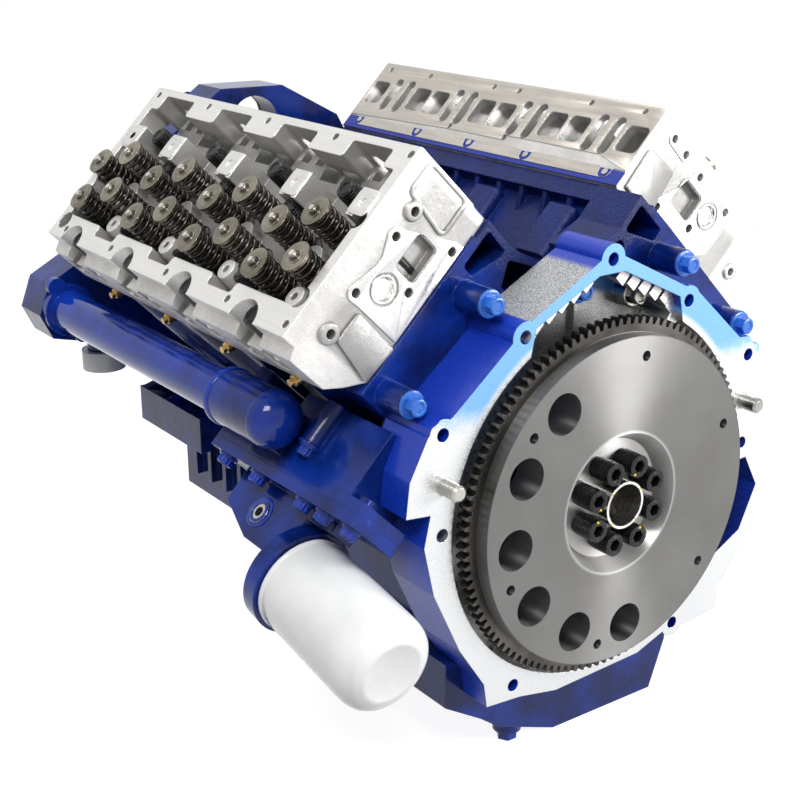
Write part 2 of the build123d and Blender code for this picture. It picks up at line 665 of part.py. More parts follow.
def cylinder_head(side):
    y0, y1 = head_ends(side)
    cuts = [head_cavity(side)]
    for y in bank_rows(side):
        notch = Pos(-HEAD_RAIL_W, y) * Circle(21) + flat(-HEAD_RAIL_W - 12, -HEAD_RAIL_W, y - 21, y + 21)
        cuts.append(Pos(0, 0, HEAD_BOLT_SEAT_T) * extrude(notch, amount=RAIL_T + 1 - HEAD_BOLT_SEAT_T))
        for dy in (-PORT_OFFSET, PORT_OFFSET):
            cuts.append(intake_pocket(y + dy, PORT_WIDTH, PORT_HEIGHT, 38))
        for dy in (-SLOT_OFFSET, SLOT_OFFSET):
            cuts.append(intake_pocket(y + dy, SLOT_WIDTH, SLOT_HEIGHT, 24))
            cuts.append(exhaust_port(y + dy * 1.9))
        cuts.append(glow_plug_place(y) * Cylinder(GLOW_R, 2 * GLOW_LENGTH))
    for index in range(CYLINDERS):
        for kind in VALVES:
            for w, y in valve_places(side, index, kind):
                cuts += valve_cuts(w, y)
    for w, y in head_bolt_places(side):
        cuts.append(rod_z(HEAD_BOLT_R, HEAD_BOTTOM_T - 1, RAIL_T + 1, w, y))
        cuts.append(rod_z(HEAD_BOLT_SEAT_R, HEAD_BOLT_SEAT_T, RAIL_T + 1, w, y))
    for w, places in ((INNER_RAIL_W, INNER_RAIL_HOLES), (OUTER_RAIL_W, OUTER_RAIL_HOLES)):
        for place in places:
            cuts.append(rod_z(RAIL_HOLE_R, RAIL_T - RAIL_HOLE_DEPTH, RAIL_T + 1, w, y0 + place))
    for t, places in FACE_HOLES.items():
        for place in places:
            cuts.append(Pos(HEAD_INTAKE_W - 3, y0 + place, t) * Rot(0, 90, 0) * Cylinder(FACE_HOLE_R, 10))
    cuts += end_cuts(y0, 1, LOW_END_HOLES, LOW_CORE_PLUG, LOW_WINDOW)
    cuts += end_cuts(y1, -1, HIGH_END_HOLES, HIGH_CORE_PLUG, HIGH_WINDOW)
    bosses = [rod_z(HEAD_BOSS_R, HEAD_BOTTOM_T, 302, w, y) for w, y in outboard_bolts(side)]
    return along_y(head_section(), y0, y1) + bosses - cuts


def valve_cuts(w, y):
    return [
        rod_z(VALVE_HEAD_R + 0.4, HEAD_BOTTOM_T - 1, HEAD_BOTTOM_T + 4.8, w, y),
        rod_z(VALVE_HEAD_R - 1.5, HEAD_BOTTOM_T, HEAD_BOTTOM_T + 20, w, y),
        rod_z(VALVE_STEM_R + RUNNING, HEAD_BOTTOM_T, RAIL_T, w, y),
        rod_z(RETAINER_R + 1, SEAT_T, RAIL_T + 1, w, y),
    ]


def intake_pocket(y, width, height, depth):
    face = Pos(y, PORT_MID_T) * RectangleRounded(width, height, 7)
    return extrude(Plane.YZ.offset(HEAD_INTAKE_W - depth) * face, amount=depth + 1)


def exhaust_port(y):
    face = Pos(y, 326) * RectangleRounded(30, 26, 8)
    return extrude(Plane.YZ.offset(-HEAD_EXHAUST_W - 1) * face, amount=26)


def glow_plug_place(y):
    return Pos(-84, y - 26, 292) * Rot(0, -60, 0)


def glow_plug(y):
    plug = Cylinder(GLOW_R, GLOW_LENGTH)
    plug += Pos(0, 0, (GLOW_LENGTH + GLOW_TERMINAL) / 2) * Cylinder(GLOW_R - 2, GLOW_TERMINAL)
    return glow_plug_place(y) * plug


def head_gasket(side):
    y0, y1 = head_ends(side)
    low, high = DECK_T, HEAD_BOTTOM_T
    sheet = box(-HEAD_FACE_W, DECK_LIP_W, y0, y1, low, high)
    for w, y in outboard_bolts(side):
        sheet += rod_z(HEAD_BOSS_R, low, high, w, y) + box(w, w + 20, y - 9, y + 9, low, high)
    holes = [rod_z(BORE_R + 1, low - 1, high + 1, 0, y) for y in bank_rows(side)]
    holes += [rod_z(HEAD_BOLT_R + 0.5, low - 1, high + 1, w, y) for w, y in head_bolt_places(side)]
    return sheet - holes


def head_bolt(side, w, y):
    bolt = rod_z(HEAD_BOLT_R, DECK_T - 60, HEAD_BOLT_SEAT_T, w, y)
    bolt += rod_z(HEAD_BOLT_SEAT_R - 0.5, HEAD_BOLT_SEAT_T, HEAD_BOLT_SEAT_T + 4, w, y)
    bolt += hexagon(17, 17, HEAD_BOLT_SEAT_T + 4, w, y)
    return bank(side, bolt)


def valve(w, y):
    profile = outline(
        (0, VALVE_FACE_T), (VALVE_HEAD_R, VALVE_FACE_T), (VALVE_HEAD_R, VALVE_FACE_T + 2),
        (VALVE_HEAD_R - 3, VALVE_FACE_T + 4), (VALVE_STEM_R, VALVE_FACE_T + 14),
        (VALVE_STEM_R, RAIL_T + VALVE_TIP), (0, RAIL_T + VALVE_TIP),
    )
    return Pos(w, y, 0) * revolve(Plane.XZ * profile, Axis.Z)


def retainer(w, y):
    low = RETAINER_T
    profile = outline(
        (VALVE_STEM_R + 3, low - 3), (9, low - 3), (9.5, low), (RETAINER_R, low),
        (RETAINER_R, low + 3.2), (11, low + 4), (8, low + 3), (VALVE_STEM_R + 3, low + 3),
    )
    return Pos(w, y, 0) * revolve(Plane.XZ * profile, Axis.Z)


def keepers(w, y):
    ring = rod_z(VALVE_STEM_R + 3, RETAINER_T - 3, RETAINER_T + 3.4, w, y)
    return ring - rod_z(VALVE_STEM_R, RETAINER_T - 4, RETAINER_T + 4, w, y)


def valve_pair(side, index, kind):
    pieces = []
    for w, y in valve_places(side, index, kind):
        pieces += [valve(w, y), retainer(w, y), keepers(w, y)]
    return [bank(side, piece) for piece in pieces]


def valve_spring():
    low = SEAT_T + REST_GAP + SPRING_WIRE_R
    height = RETAINER_T - REST_GAP - SPRING_WIRE_R - low
    path = Helix(height / SPRING_TURNS, height, SPRING_R)
    start = Plane(origin=path @ 0, z_dir=path % 0)
    return Pos(0, 0, low) * sweep(start * Circle(SPRING_WIRE_R), path)


def valve_springs(side):
    spring = valve_spring()
    springs = []
    for index in range(CYLINDERS):
        for kind in VALVES:
            for w, y in valve_places(side, index, kind):
                springs.append(bank(side, Pos(w, y, 0) * spring))
    return springs


# Flywheel housing
def housing_outline():
    return outline(
        (0, 250), (14, 238), (98, 196), (114, 190), (183, 128), (205, 126), (214, 114), (214, 52),
        (203, 30), (216, 2), (236, -14), (241, -48), (218, -94), (191, -136), (176, -150),
        (176, -176), (128, -182), (104, -178), (60, -194), (-53, -199), (-100, -190),
        (-142, -187), (-146, -161), (-176, -115), (-207, -48), (-218, 2), (-211, 33), (-238, 36),
        (-234, 70), (-214, 108), (-186, 122), (-118, 178), (-98, 194), (-14, 238),
    )


def housing_face():
    return housing_outline() + [Pos(x, z) * Circle(EAR_R) for x, z in HOUSING_HOLES]


def housing_clearance():
    return along_y(offset(housing_face(), REST_GAP), HOUSING_FACE_Y, BLOCK_REAR + REST_GAP)


def rear_boss_places():
    places = [((w - t) / sqrt(2), (w + t) / sqrt(2)) for w, t in REAR_BOSSES]
    return [(side * x, z) for x, z in places for side in (-1, 1)]


def flywheel_housing():
    outer = along_y(housing_face(), HOUSING_FACE_Y, BLOCK_REAR)
    peak = outline((-98, 158), (98, 158), (92, 186), (16, 223), (-16, 223), (-92, 186))
    cavity = Circle(HOUSING_BORE_R) + peak
    cavity += outline((180, -10), (206, -8), (226, -44), (204, -92), (150, -120))
    outer -= along_y(cavity, HOUSING_FACE_Y - 1, BLOCK_REAR - HOUSING_WALL)
    outer -= rod_y(SEAL_JOURNAL_R + 20, HOUSING_FACE_Y, BLOCK_REAR + 1)
    for angle in (30, 60, 90, 120, 150, 210, 240, 300, 330):
        a = radians(angle)
        rib = Rot(0, -angle, 0) * box(82, HOUSING_BORE_R + 1, -3, 3, -3, 3)
        outer += Pos(0, BLOCK_REAR - HOUSING_WALL - 3, 0) * rib
    for x, z in HOUSING_HOLES:
        outer -= rod_y(HOUSING_HOLE_R, HOUSING_FACE_Y - 1, BLOCK_REAR + 1, x, z)
    for x in (-DOWEL_X, DOWEL_X):
        outer -= rod_y(DOWEL_SHANK_R, HOUSING_FACE_Y - 1, HOUSING_FACE_Y + DOWEL_SHANK, x, DOWEL_Z)
    for x, z in HOUSING_BOLTS:
        outer += rod_y(13, BLOCK_REAR - HOUSING_WALL - 14, BLOCK_REAR, x, z)
        outer -= rod_y(6, BLOCK_REAR - 40, BLOCK_REAR + 1, x, z)
    radius = REAR_BOSS_R + REST_GAP
    return outer - [rod_y(radius, HOUSING_FACE_Y - 1, BLOCK_REAR + 1, x, z) for x, z in rear_boss_places()]


def housing_bolt(x, z, head_y, y1):
    bolt = rod_y(REAR_BOLT_R, head_y, y1, x, z) + rod_y(11.5, head_y - 3, head_y, x, z)
    return bolt + Pos(x, head_y - 3, z) * Rot(90, 0, 0) * extrude(RegularPolygon(9, 6), amount=9)


def housing_bolts():
    inner_y = BLOCK_REAR - HOUSING_WALL - 14
    bolts = [housing_bolt(x, z, inner_y, BLOCK_REAR) for x, z in HOUSING_BOLTS]
    return bolts + [housing_bolt(x, z, REAR_BOSS_Y, BLOCK_REAR + 10) for x, z in rear_boss_places()]


def dowel(x):
    pin = rod_y(DOWEL_R, HOUSING_FACE_Y - DOWEL_OUT, HOUSING_FACE_Y, x, DOWEL_Z)
    pin = chamfer(pin.edges().sort_by(Axis.Y)[0], DOWEL_CHAMFER)
    return pin + rod_y(DOWEL_SHANK_R, HOUSING_FACE_Y, HOUSING_FACE_Y + DOWEL_SHANK, x, DOWEL_Z)


def rear_main_seal():
    ring = rod_y(SEAL_JOURNAL_R + 12, BLOCK_REAR, BLOCK_REAR + SKIRT_WALL)
    return ring - rod_y(FLANGE_R + REST_GAP, BLOCK_REAR - 1, BLOCK_REAR + 40)


# Front gear housing
def cover_outline():
    return outline(
        (-144, PAN_RAIL_Z), (-150, 10), (-215, 40), (-300, 62), (-314, 92), (-300, 128),
        (-258, 150), (-150, 220), (-128, 286), (-62, 333), (24, 331), (104, 288), (148, 210),
        (160, 60), (144, PAN_RAIL_Z),
    )


def front_gear_housing():
    y0, y1 = BLOCK_FRONT, BLOCK_FRONT + COVER_DEPTH - COVER_WALL
    case = along_y(cover_outline(), y0, y1)
    inner = Circle(62) + Pos(0, CAM_Z) * Circle(112) + Pos(0, 60) * Rectangle(124, 100)
    case -= along_y(inner, y0 + COVER_WALL, y1 + 1)
    case -= [
        rod_y(PUMP_WELL_R, y0 - 1, y1 + 1, PUMP_BORE_X, PUMP_BORE_Z),
        rod_y(PUMP_BORE_R, y1 + COVER_WALL - PUMP_BORE_DEPTH, y1 + 1, PUMP_BORE_X, PUMP_BORE_Z),
        rod_y(MAIN_R + REST_GAP, y0 - 1, y0 + COVER_WALL + 1),
        rod_y(CAM_JOURNAL_R + 4, y0 - 1, y0 + COVER_WALL + 1, 0, CAM_Z),
        rod_y(TUBE_R - TUBE_WALL, y0 - 1, y0 + 30, TUBE_X, TUBE_Z),
    ]
    return case + rod_z(CAP_R - 7, CAP_TOP_Z, CAP_TOP_Z + 32, PORT_X, BLOCK_FRONT + COVER_DEPTH / 2)


def front_cover():
    y0, y1 = BLOCK_FRONT + COVER_DEPTH - COVER_WALL, BLOCK_FRONT + COVER_DEPTH
    plate = along_y(cover_outline(), y0, y1)
    plate += rod_y(SNOUT_R + 22, y1, y1 + COVER_BOSS)
    plate -= rod_y(PUMP_BORE_R, y0 - 1, y1 + 1, PUMP_BORE_X, PUMP_BORE_Z)
    return plate - rod_y(SNOUT_R + REST_GAP, y0 - 1, y1 + COVER_BOSS + 1)


# Oil pans
def upper_oil_pan():
    x = SKIRT_X + 14
    z1 = PAN_RAIL_Z
    z0 = z1 - PAN_DEPTH_FRONT
    pan = box(-x, x, BLOCK_REAR, BLOCK_FRONT - 20, z0, z1)
    pan = chamfer(pan.edges().filter_by(Axis.X).sort_by(Axis.Z)[:1], 24)
    y0, y1 = BLOCK_REAR + PAN_WALL, BLOCK_FRONT - 20 - PAN_WALL
    pan -= box(-x + PAN_WALL, x - PAN_WALL, y0, y1, z0 + PAN_WALL, z1 + 1)
    pan -= box(-x + 24, x - 24, SUMP_REAR + 60, SUMP_FRONT - 24, z0 - 1, z0 + PAN_WALL + 1)
    for index in range(7):
        y = SUMP_FRONT + 30 + 36 * index
        for side in (-1, 1):
            pan += box(*sorted((side * x, side * (x + 9))), y - 4, y + 4, z0 + 26, z1 - 4)
    return pan


def sump_outline():
    z = PAN_RAIL_Z - PAN_DEPTH_FRONT
    return outline(
        (-165, z), (-165, -198), (-120, -226), (-96, -244), (-22, -272), (118, -272),
        (138, -218), (140, z),
    )


def lower_oil_pan():
    sump = along_y(sump_outline(), SUMP_REAR, SUMP_FRONT)
    inner = offset(sump_outline(), -PAN_WALL)
    sump -= along_y(inner, SUMP_REAR + PAN_WALL, SUMP_FRONT - PAN_WALL)
    z = PAN_RAIL_Z - PAN_DEPTH_FRONT
    sump -= box(-120, 120, SUMP_REAR + 60, SUMP_FRONT - 24, z - PAN_WALL - 2, z + 1)
    sump += rod_y(14, SUMP_REAR + 2, SUMP_REAR + 4, 0, -200)
    boss = rod_z(15, PLUG_Z, PLUG_Z + 16, PLUG_X, SUMP_REAR + 16)
    hole = rod_z(7, PLUG_Z - 12, PLUG_Z + 40, PLUG_X, SUMP_REAR + 16)
    return sump + boss - hole - housing_clearance()


def drain_plug():
    y = SUMP_REAR + 16
    plug = rod_z(7, PLUG_Z, PLUG_Z + 18, PLUG_X, y) + rod_z(12, PLUG_Z - 2.5, PLUG_Z, PLUG_X, y)
    return plug + hexagon(19, -8, PLUG_Z - 2.5, PLUG_X, y)


# Oil cooler, filter and coolant tube on the left side
def oil_cooler_housing():
    wall = -HEAD_BOLT_RING - HEAD_BOSS_R - REST_GAP
    body = box(COOLER_W0, wall, COOLER_Y0, COOLER_Y1, COOLER_T0, COOLER_T1)
    body += box(COOLER_W0 - FLANGE, COOLER_W0, FLANGE_Y0, FLANGE_Y1, COOLER_T0, COOLER_T1)
    body += box(COOLER_W0, COOLER_W0 + 44, TUBE_REAR - 50, COOLER_Y1, COOLER_T1 - 4, COOLER_T1 + 28)
    for y in (150, 272):
        body += Pos(wall - 22, y, COOLER_T1 + 4) * Rot(0, 90, 0) * Cylinder(11, 44)
        body += box(wall - 44, wall, y - 8, y + 8, COOLER_T0, COOLER_T1 + 2)
    body += box(COOLER_W0, wall, COOLER_Y1 - 1, 280, COOLER_T0, COOLER_T0 + 12)
    body -= [filter_bolt_hole(y) for y in COOLER_BOLTS]
    cooler = bank("left", body)
    cooler += rod_y(TUBE_R + 5, TUBE_REAR - 60, TUBE_REAR + 22, TUBE_X, TUBE_Z)
    socket = rod_y(TUBE_R, TUBE_REAR, TUBE_REAR + 60, TUBE_X, TUBE_Z)
    return cooler - socket - housing_clearance()


def filter_bolt_hole(y):
    return Pos(COOLER_W0 - FLANGE, y, BOLT_T) * Rot(0, 90, 0) * Cylinder(4, 60)


def filter_axis():
    return Pos(FILTER_X, FILTER_Y, FILTER_Z) * Rot(90 + FILTER_TILT, 0, 0)


def oil_filter_head():
    w1 = COOLER_W0 - FLANGE
    body = box(w1 - FLANGE, w1, FLANGE_Y0, FLANGE_Y1, COOLER_T0, COOLER_T1)
    arm = outline(
        (w1, 256), (w1 - 48, 254), (w1 - 70, 196), (w1 - 72, 134), (w1 - 24, 134), (w1 - 24, 92), (w1, 92),
    )
    arm -= outline((w1 - 20, 129), (w1 - 18, 101), (w1 - 6, 130))
    body += Pos(0, 0, ARM_T1 - 28) * extrude(arm, amount=28)
    body -= [filter_bolt_hole(y) for y in COOLER_BOLTS]
    body -= Pos(w1 - 42, ARM_PLUG_Y, ARM_T1) * Cylinder(12, 12)
    flange = filter_axis() * (Pos(0, 0, -9) * Cylinder(FILTER_R + 5, 18))
    return bank("left", body) + flange


def oil_filter():
    radius, length = FILTER_R, FILTER_LENGTH
    profile = outline(
        (0, REST_GAP), (radius, REST_GAP), (radius, length - 22), (radius - 3, length - 12),
        (radius - 11, length - 4), (radius - 24, length), (0, length),
    )
    return filter_axis() * revolve(Plane.XZ * profile, Axis.Z)


def coolant_tube():
    y1 = BLOCK_FRONT
    tube = rod_y(TUBE_R, TUBE_REAR, y1, TUBE_X, TUBE_Z)
    ear = Pos(TUBE_X, TUBE_Z) * (Circle(TUBE_R + 7) + Pos(-14, 30) * Circle(11) + Pos(14, -30) * Circle(11))
    tube += along_y(ear, y1 - 10, y1)
    return tube - rod_y(TUBE_R - TUBE_WALL, TUBE_REAR - 1, y1 + 1, TUBE_X, TUBE_Z)


def cooler_bolt(y):
    w = COOLER_W0 - 2 * FLANGE
    bolt = Pos(w + 15, y, BOLT_T) * Rot(0, 90, 0) * Cylinder(4, 30)
    head = Pos(w, y, BOLT_T) * Rot(0, -90, 0) * extrude(RegularPolygon(7.5, 6), amount=9)
    return bank("left", bolt + head)


def filter_head_plug():
    place = Pos(COOLER_W0 - FLANGE - 42, ARM_PLUG_Y, ARM_T1)
    return bank("left", place * (Pos(0, 0, -2) * Cylinder(12, 8) - Cylinder(5, 12)))


def port_cap():
    return rod_z(CAP_R, CAP_TOP_Z - 24, CAP_TOP_Z, PORT_X, BLOCK_FRONT + COVER_DEPTH / 2)


def mount_bracket():
    low = PAN_RAIL_Z + 26
    bracket = box(-SKIRT_X - 14, -SKIRT_X, 470, 620, low, 10)
    arm = outline((-SKIRT_X - 14, low), (-205, -50), (-205, -8), (-SKIRT_X - 14, 10))
    for y in (478, 540, 602):
        bracket += along_y(arm, y, y + 14)
    return bracket + box(-205, -192, 470, 620, -50, -8)


def save(name, pieces):
    pieces = pieces if isinstance(pieces, list) else [pieces]
    solids = [solid for piece in pieces for solid in piece.solids()]
    shape = solids[0] if len(solids) == 1 else Compound(children=solids)
    export_step(shape, f"parts/{name}.step")


def build():
    os.makedirs("parts", exist_ok=True)
    save("engine_block", engine_block())
    save("main_bearing_caps", [main_bearing_cap(i) for i in range(CYLINDERS + 1)])
    save("main_cap_bolts", [
        main_cap_bolt(i, x) for i in range(CYLINDERS + 1) for x in (-CAP_BOLT_X, CAP_BOLT_X)
    ])
    save("main_bearing_shells", [shell for i in range(CYLINDERS + 1) for shell in main_shells(i)])
    save("crankshaft", [crank_section(i) for i in range(CYLINDERS + 1)])
    save("camshaft", camshaft())
    save("crank_gear", crank_gear())
    save("cam_gear", cam_gear())
    save("flywheel", flywheel())
    save("ring_gear", ring_gear())
    places = list(ring_places(FLYWHEEL_BOLT_PCD, FLYWHEEL_BOLTS, FLYWHEEL_BOLTS_FIRST))
    save("flywheel_bolts", [flywheel_bolt(x, z) for x, z in places])
    save("pilot_sleeve", pilot_sleeve())
    for side in ("left", "right"):
        save(f"{side}_cylinder_head", bank(side, cylinder_head(side)))
        save(f"{side}_valve_springs", valve_springs(side))
        for index in range(CYLINDERS):
            save(f"{side}_piston_{index + 1}", piston_assembly(side, index))
            for kind in VALVES:
                save(f"{side}_{kind}_valves_{index + 1}", valve_pair(side, index, kind))
    sides = ("left", "right")
    save("head_gaskets", [bank(side, head_gasket(side)) for side in sides])
    save("head_bolts", [head_bolt(side, w, y) for side in sides for w, y in head_bolt_places(side)])
    save("glow_plugs", [
        bank(side, glow_plug(bank_y(side, cylinder_y(side, i))))
        for side in sides for i in range(CYLINDERS)
    ])
    save("flywheel_housing", flywheel_housing())
    save("housing_bolts", housing_bolts())
    save("housing_dowels", [dowel(x) for x in (-DOWEL_X, DOWEL_X)])
    save("rear_main_seal", rear_main_seal())
    save("front_gear_housing", front_gear_housing())
    save("front_cover", front_cover())
    save("upper_oil_pan", upper_oil_pan())
    save("lower_oil_pan", lower_oil_pan())
    save("drain_plug", drain_plug())
    save("oil_cooler_housing", oil_cooler_housing())
    save("oil_filter_head", oil_filter_head())
    save("oil_filter", oil_filter())
    save("coolant_tube", coolant_tube())
    save("cooler_bolts", [cooler_bolt(y) for y in COOLER_BOLTS])
    save("filter_head_plug", filter_head_plug())
    save("port_cap", port_cap())
    save("mount_bracket", mount_bracket())


build()
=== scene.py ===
from math import asin, atan2, cos, degrees, hypot, pi, radians, sin, sqrt

import bmesh
import bpy
from mathutils import Matrix, Vector


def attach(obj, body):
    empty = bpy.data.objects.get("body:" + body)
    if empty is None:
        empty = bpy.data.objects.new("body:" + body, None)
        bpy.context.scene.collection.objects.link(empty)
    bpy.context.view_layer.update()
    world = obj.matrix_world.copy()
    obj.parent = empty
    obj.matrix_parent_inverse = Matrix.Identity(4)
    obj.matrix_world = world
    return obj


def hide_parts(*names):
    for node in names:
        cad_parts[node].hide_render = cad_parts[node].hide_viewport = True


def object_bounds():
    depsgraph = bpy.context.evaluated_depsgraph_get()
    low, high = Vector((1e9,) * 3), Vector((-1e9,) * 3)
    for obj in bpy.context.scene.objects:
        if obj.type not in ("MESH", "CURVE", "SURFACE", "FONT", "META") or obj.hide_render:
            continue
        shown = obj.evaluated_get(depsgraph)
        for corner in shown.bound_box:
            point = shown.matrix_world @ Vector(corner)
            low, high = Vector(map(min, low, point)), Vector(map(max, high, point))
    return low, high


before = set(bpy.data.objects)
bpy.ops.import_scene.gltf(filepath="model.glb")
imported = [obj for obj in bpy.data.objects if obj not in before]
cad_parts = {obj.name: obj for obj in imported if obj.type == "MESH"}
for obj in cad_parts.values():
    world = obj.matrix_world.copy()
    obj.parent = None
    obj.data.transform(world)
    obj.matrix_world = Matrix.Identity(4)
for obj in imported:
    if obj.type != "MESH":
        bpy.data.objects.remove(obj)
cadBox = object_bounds()
mm = 0.001
half = sqrt(0.5)
scene = bpy.context.scene
scene.view_settings.view_transform = "Standard"

# the engine's own layout, the same values as the solids have
layout = {
    "railT": 368.35, "seatT": 330.05, "intakeW": 125.2,
    "headLength": 495.0, "rear": {"left": 92.9, "right": 130.7},
    "firstY": {"left": 165.7, "right": 193.7}, "pitch": 123.0, "cylinders": 4,
    "valves": {"intake": ((32.7, -15.0), (13.4, 31.8)), "exhaust": ((-13.7, -32.9), (-32.5, 16.0))},
    "boltRing": 72.0, "endBolt": 15.0,
}


def leftBank():
    return Matrix(((half, 0, -half, 0), (0, 1, 0, 0), (half, 0, half, 0), (0, 0, 0, 1)))


# in a bank's frame x is w, positive to the valley, and z is t, the distance from the crankshaft
bankMatrix = {"left": leftBank(), "right": Matrix.Rotation(pi, 4, "Z") @ leftBank()}
banks = ("left", "right")


def bankY(side, y):
    return y if side == "left" else -y


def cylinderY(side, index):
    return bankY(side, layout["firstY"][side] + layout["pitch"] * index)


def headEnds(side):
    rear = layout["rear"][side]
    return sorted((bankY(side, rear), bankY(side, rear + layout["headLength"])))


def headBoltPlaces(side):
    y0, y1 = headEnds(side)
    ring = layout["boltRing"]
    rows = [cylinderY(side, index) for index in range(layout["cylinders"])]
    places = [(w, y) for y in rows for w in (ring, -ring)]
    for index in range(layout["cylinders"] + 1):
        y = cylinderY(side, index) - bankY(side, layout["pitch"] / 2)
        y = min(max(y, y0 + layout["endBolt"]), y1 - layout["endBolt"])
        across = sqrt(ring ** 2 - min(abs(y - row) for row in rows) ** 2)
        places += [(across, y), (-across, y)]
    return places


# node helpers


def addNode(tree, kind, **values):
    node = tree.nodes.new(kind)
    for key, value in values.items():
        if key in node.inputs:
            node.inputs[key].default_value = value
        else:
            setattr(node, key, value)
    return node


def feed(tree, node, name, value):
    if hasattr(value, "links"):
        tree.links.new(value, node.inputs[name])
    else:
        node.inputs[name].default_value = value


def mathNode(tree, operation, a, b=None, clamp=False):
    node = addNode(tree, "ShaderNodeMath", operation=operation, use_clamp=clamp)
    for index, value in enumerate((a, b)):
        if value is not None:
            feed(tree, node, index, value)
    return node.outputs[0]


def times(tree, a, b, clamp=False):
    return mathNode(tree, "MULTIPLY", a, b, clamp)


def mixColour(tree, factor, a, b):
    node = addNode(tree, "ShaderNodeMix", data_type="RGBA")
    for index, value in ((0, factor), (6, a), (7, b)):
        feed(tree, node, index, value)
    return node.outputs[2]


def mixValue(tree, factor, a, b):
    node = addNode(tree, "ShaderNodeMix")
    for index, value in ((0, factor), (2, a), (3, b)):
        feed(tree, node, index, value)
    return node.outputs[0]


def ramp(tree, value, low, high, outLow=0.0, outHigh=1.0):
    node = addNode(tree, "ShaderNodeMapRange", interpolation_type="SMOOTHSTEP")
    feed(tree, node, "Value", value)
    for name, number in (("From Min", low), ("From Max", high), ("To Min", outLow), ("To Max", outHigh)):
        node.inputs[name].default_value = number
    return node.outputs["Result"]


def newGroup(name, inputs, outputs):
    # a group's tree, its two ends and a coordinate node; a tuple or a Normal makes a vector socket
    tree = bpy.data.node_groups.new(name, "ShaderNodeTree")
    start, end = tree.nodes.new("NodeGroupInput"), tree.nodes.new("NodeGroupOutput")
    for key, value in inputs.items():
        kind = "NodeSocketVector" if isinstance(value, tuple) else "NodeSocketFloat"
        tree.interface.new_socket(name=key, in_out="INPUT", socket_type=kind).default_value = value
    for key in outputs:
        kind = "NodeSocketVector" if key == "Normal" else "NodeSocketFloat"
        tree.interface.new_socket(name=key, in_out="OUTPUT", socket_type=kind)
    return tree, start, end, addNode(tree, "ShaderNodeTexCoord")


def buildCastGrain():
    # sand-cast surface: fine grains, shallow lumps and a slow mottle
    inputs = {"Grain": 900.0, "Lumps": 90.0, "Weight": 0.35}
    tree, start, end, place = newGroup("castGrain", inputs, ("Height", "Mottle", "Fine"))
    fine = addNode(tree, "ShaderNodeTexNoise", Detail=3.0, Roughness=0.65)
    lumps = addNode(tree, "ShaderNodeTexNoise", Detail=3.0, Roughness=0.45)
    slow = addNode(tree, "ShaderNodeTexNoise", Scale=14.0, Detail=5.0, Roughness=0.6)
    for node in (fine, lumps, slow):
        feed(tree, node, "Vector", place.outputs["Object"])
    feed(tree, fine, "Scale", start.outputs["Grain"])
    feed(tree, lumps, "Scale", start.outputs["Lumps"])
    grains = times(tree, fine.outputs[0], start.outputs["Weight"])
    feed(tree, end, "Height", mathNode(tree, "ADD", grains, lumps.outputs[0]))
    feed(tree, end, "Mottle", ramp(tree, slow.outputs[0], 0.35, 0.68))
    feed(tree, end, "Fine", ramp(tree, fine.outputs[0], 0.38, 0.64))
    return tree


def buildEdgeWear():
    # bright rub on corners, broken up by noise
    tree, start, end, place = newGroup("edgeWear", {"Radius": 0.0014}, ("Wear", "Normal"))
    soft = addNode(tree, "ShaderNodeBevel", samples=4)
    feed(tree, soft, "Radius", start.outputs["Radius"])
    shape = addNode(tree, "ShaderNodeNewGeometry")
    dot = addNode(tree, "ShaderNodeVectorMath", operation="DOT_PRODUCT")
    feed(tree, dot, 0, soft.outputs[0])
    feed(tree, dot, 1, shape.outputs["Normal"])
    noise = addNode(tree, "ShaderNodeTexNoise", Scale=160.0, Detail=4.0, Roughness=0.7)
    feed(tree, noise, "Vector", place.outputs["Object"])
    edge = ramp(tree, dot.outputs["Value"], 0.995, 0.90)
    feed(tree, end, "Wear", times(tree, edge, ramp(tree, noise.outputs[0], 0.42, 0.62), clamp=True))
    feed(tree, end, "Normal", soft.outputs[0])
    return tree


def buildCutFace():
    # mask of a milled plane: faces along Axis that lie at Offset
    inputs = {"Axis": (0, -1, 0), "Offset": 0.0}
    tree, start, end, place = newGroup("cutFace", inputs, ("Mask",))
    found = {}
    for source in ("Object", "Normal"):
        node = addNode(tree, "ShaderNodeVectorMath", operation="DOT_PRODUCT")
        feed(tree, node, 0, place.outputs[source])
        feed(tree, node, 1, start.outputs["Axis"])
        found[source] = node.outputs["Value"]
    away = mathNode(tree, "SUBTRACT", found["Object"], start.outputs["Offset"])
    near = mathNode(tree, "LESS_THAN", mathNode(tree, "ABSOLUTE", away), 0.0009)
    feed(tree, end, "Mask", times(tree, near, mathNode(tree, "GREATER_THAN", found["Normal"], 0.97)))
    return tree


def buildMillMarks():
    # straight, faintly crossed cutter marks
    tree, start, end, place = newGroup("millMarks", {"Scale": 60.0}, ("Marks",))
    stretch = addNode(tree, "ShaderNodeMapping", Scale=(1.0, 0.05, 1.0))
    noise = addNode(tree, "ShaderNodeTexNoise", Detail=3.0, Roughness=0.6)
    feed(tree, stretch, "Vector", place.outputs["Object"])
    feed(tree, noise, "Vector", stretch.outputs[0])
    feed(tree, noise, "Scale", start.outputs["Scale"])
    feed(tree, end, "Marks", noise.outputs[0])
    return tree


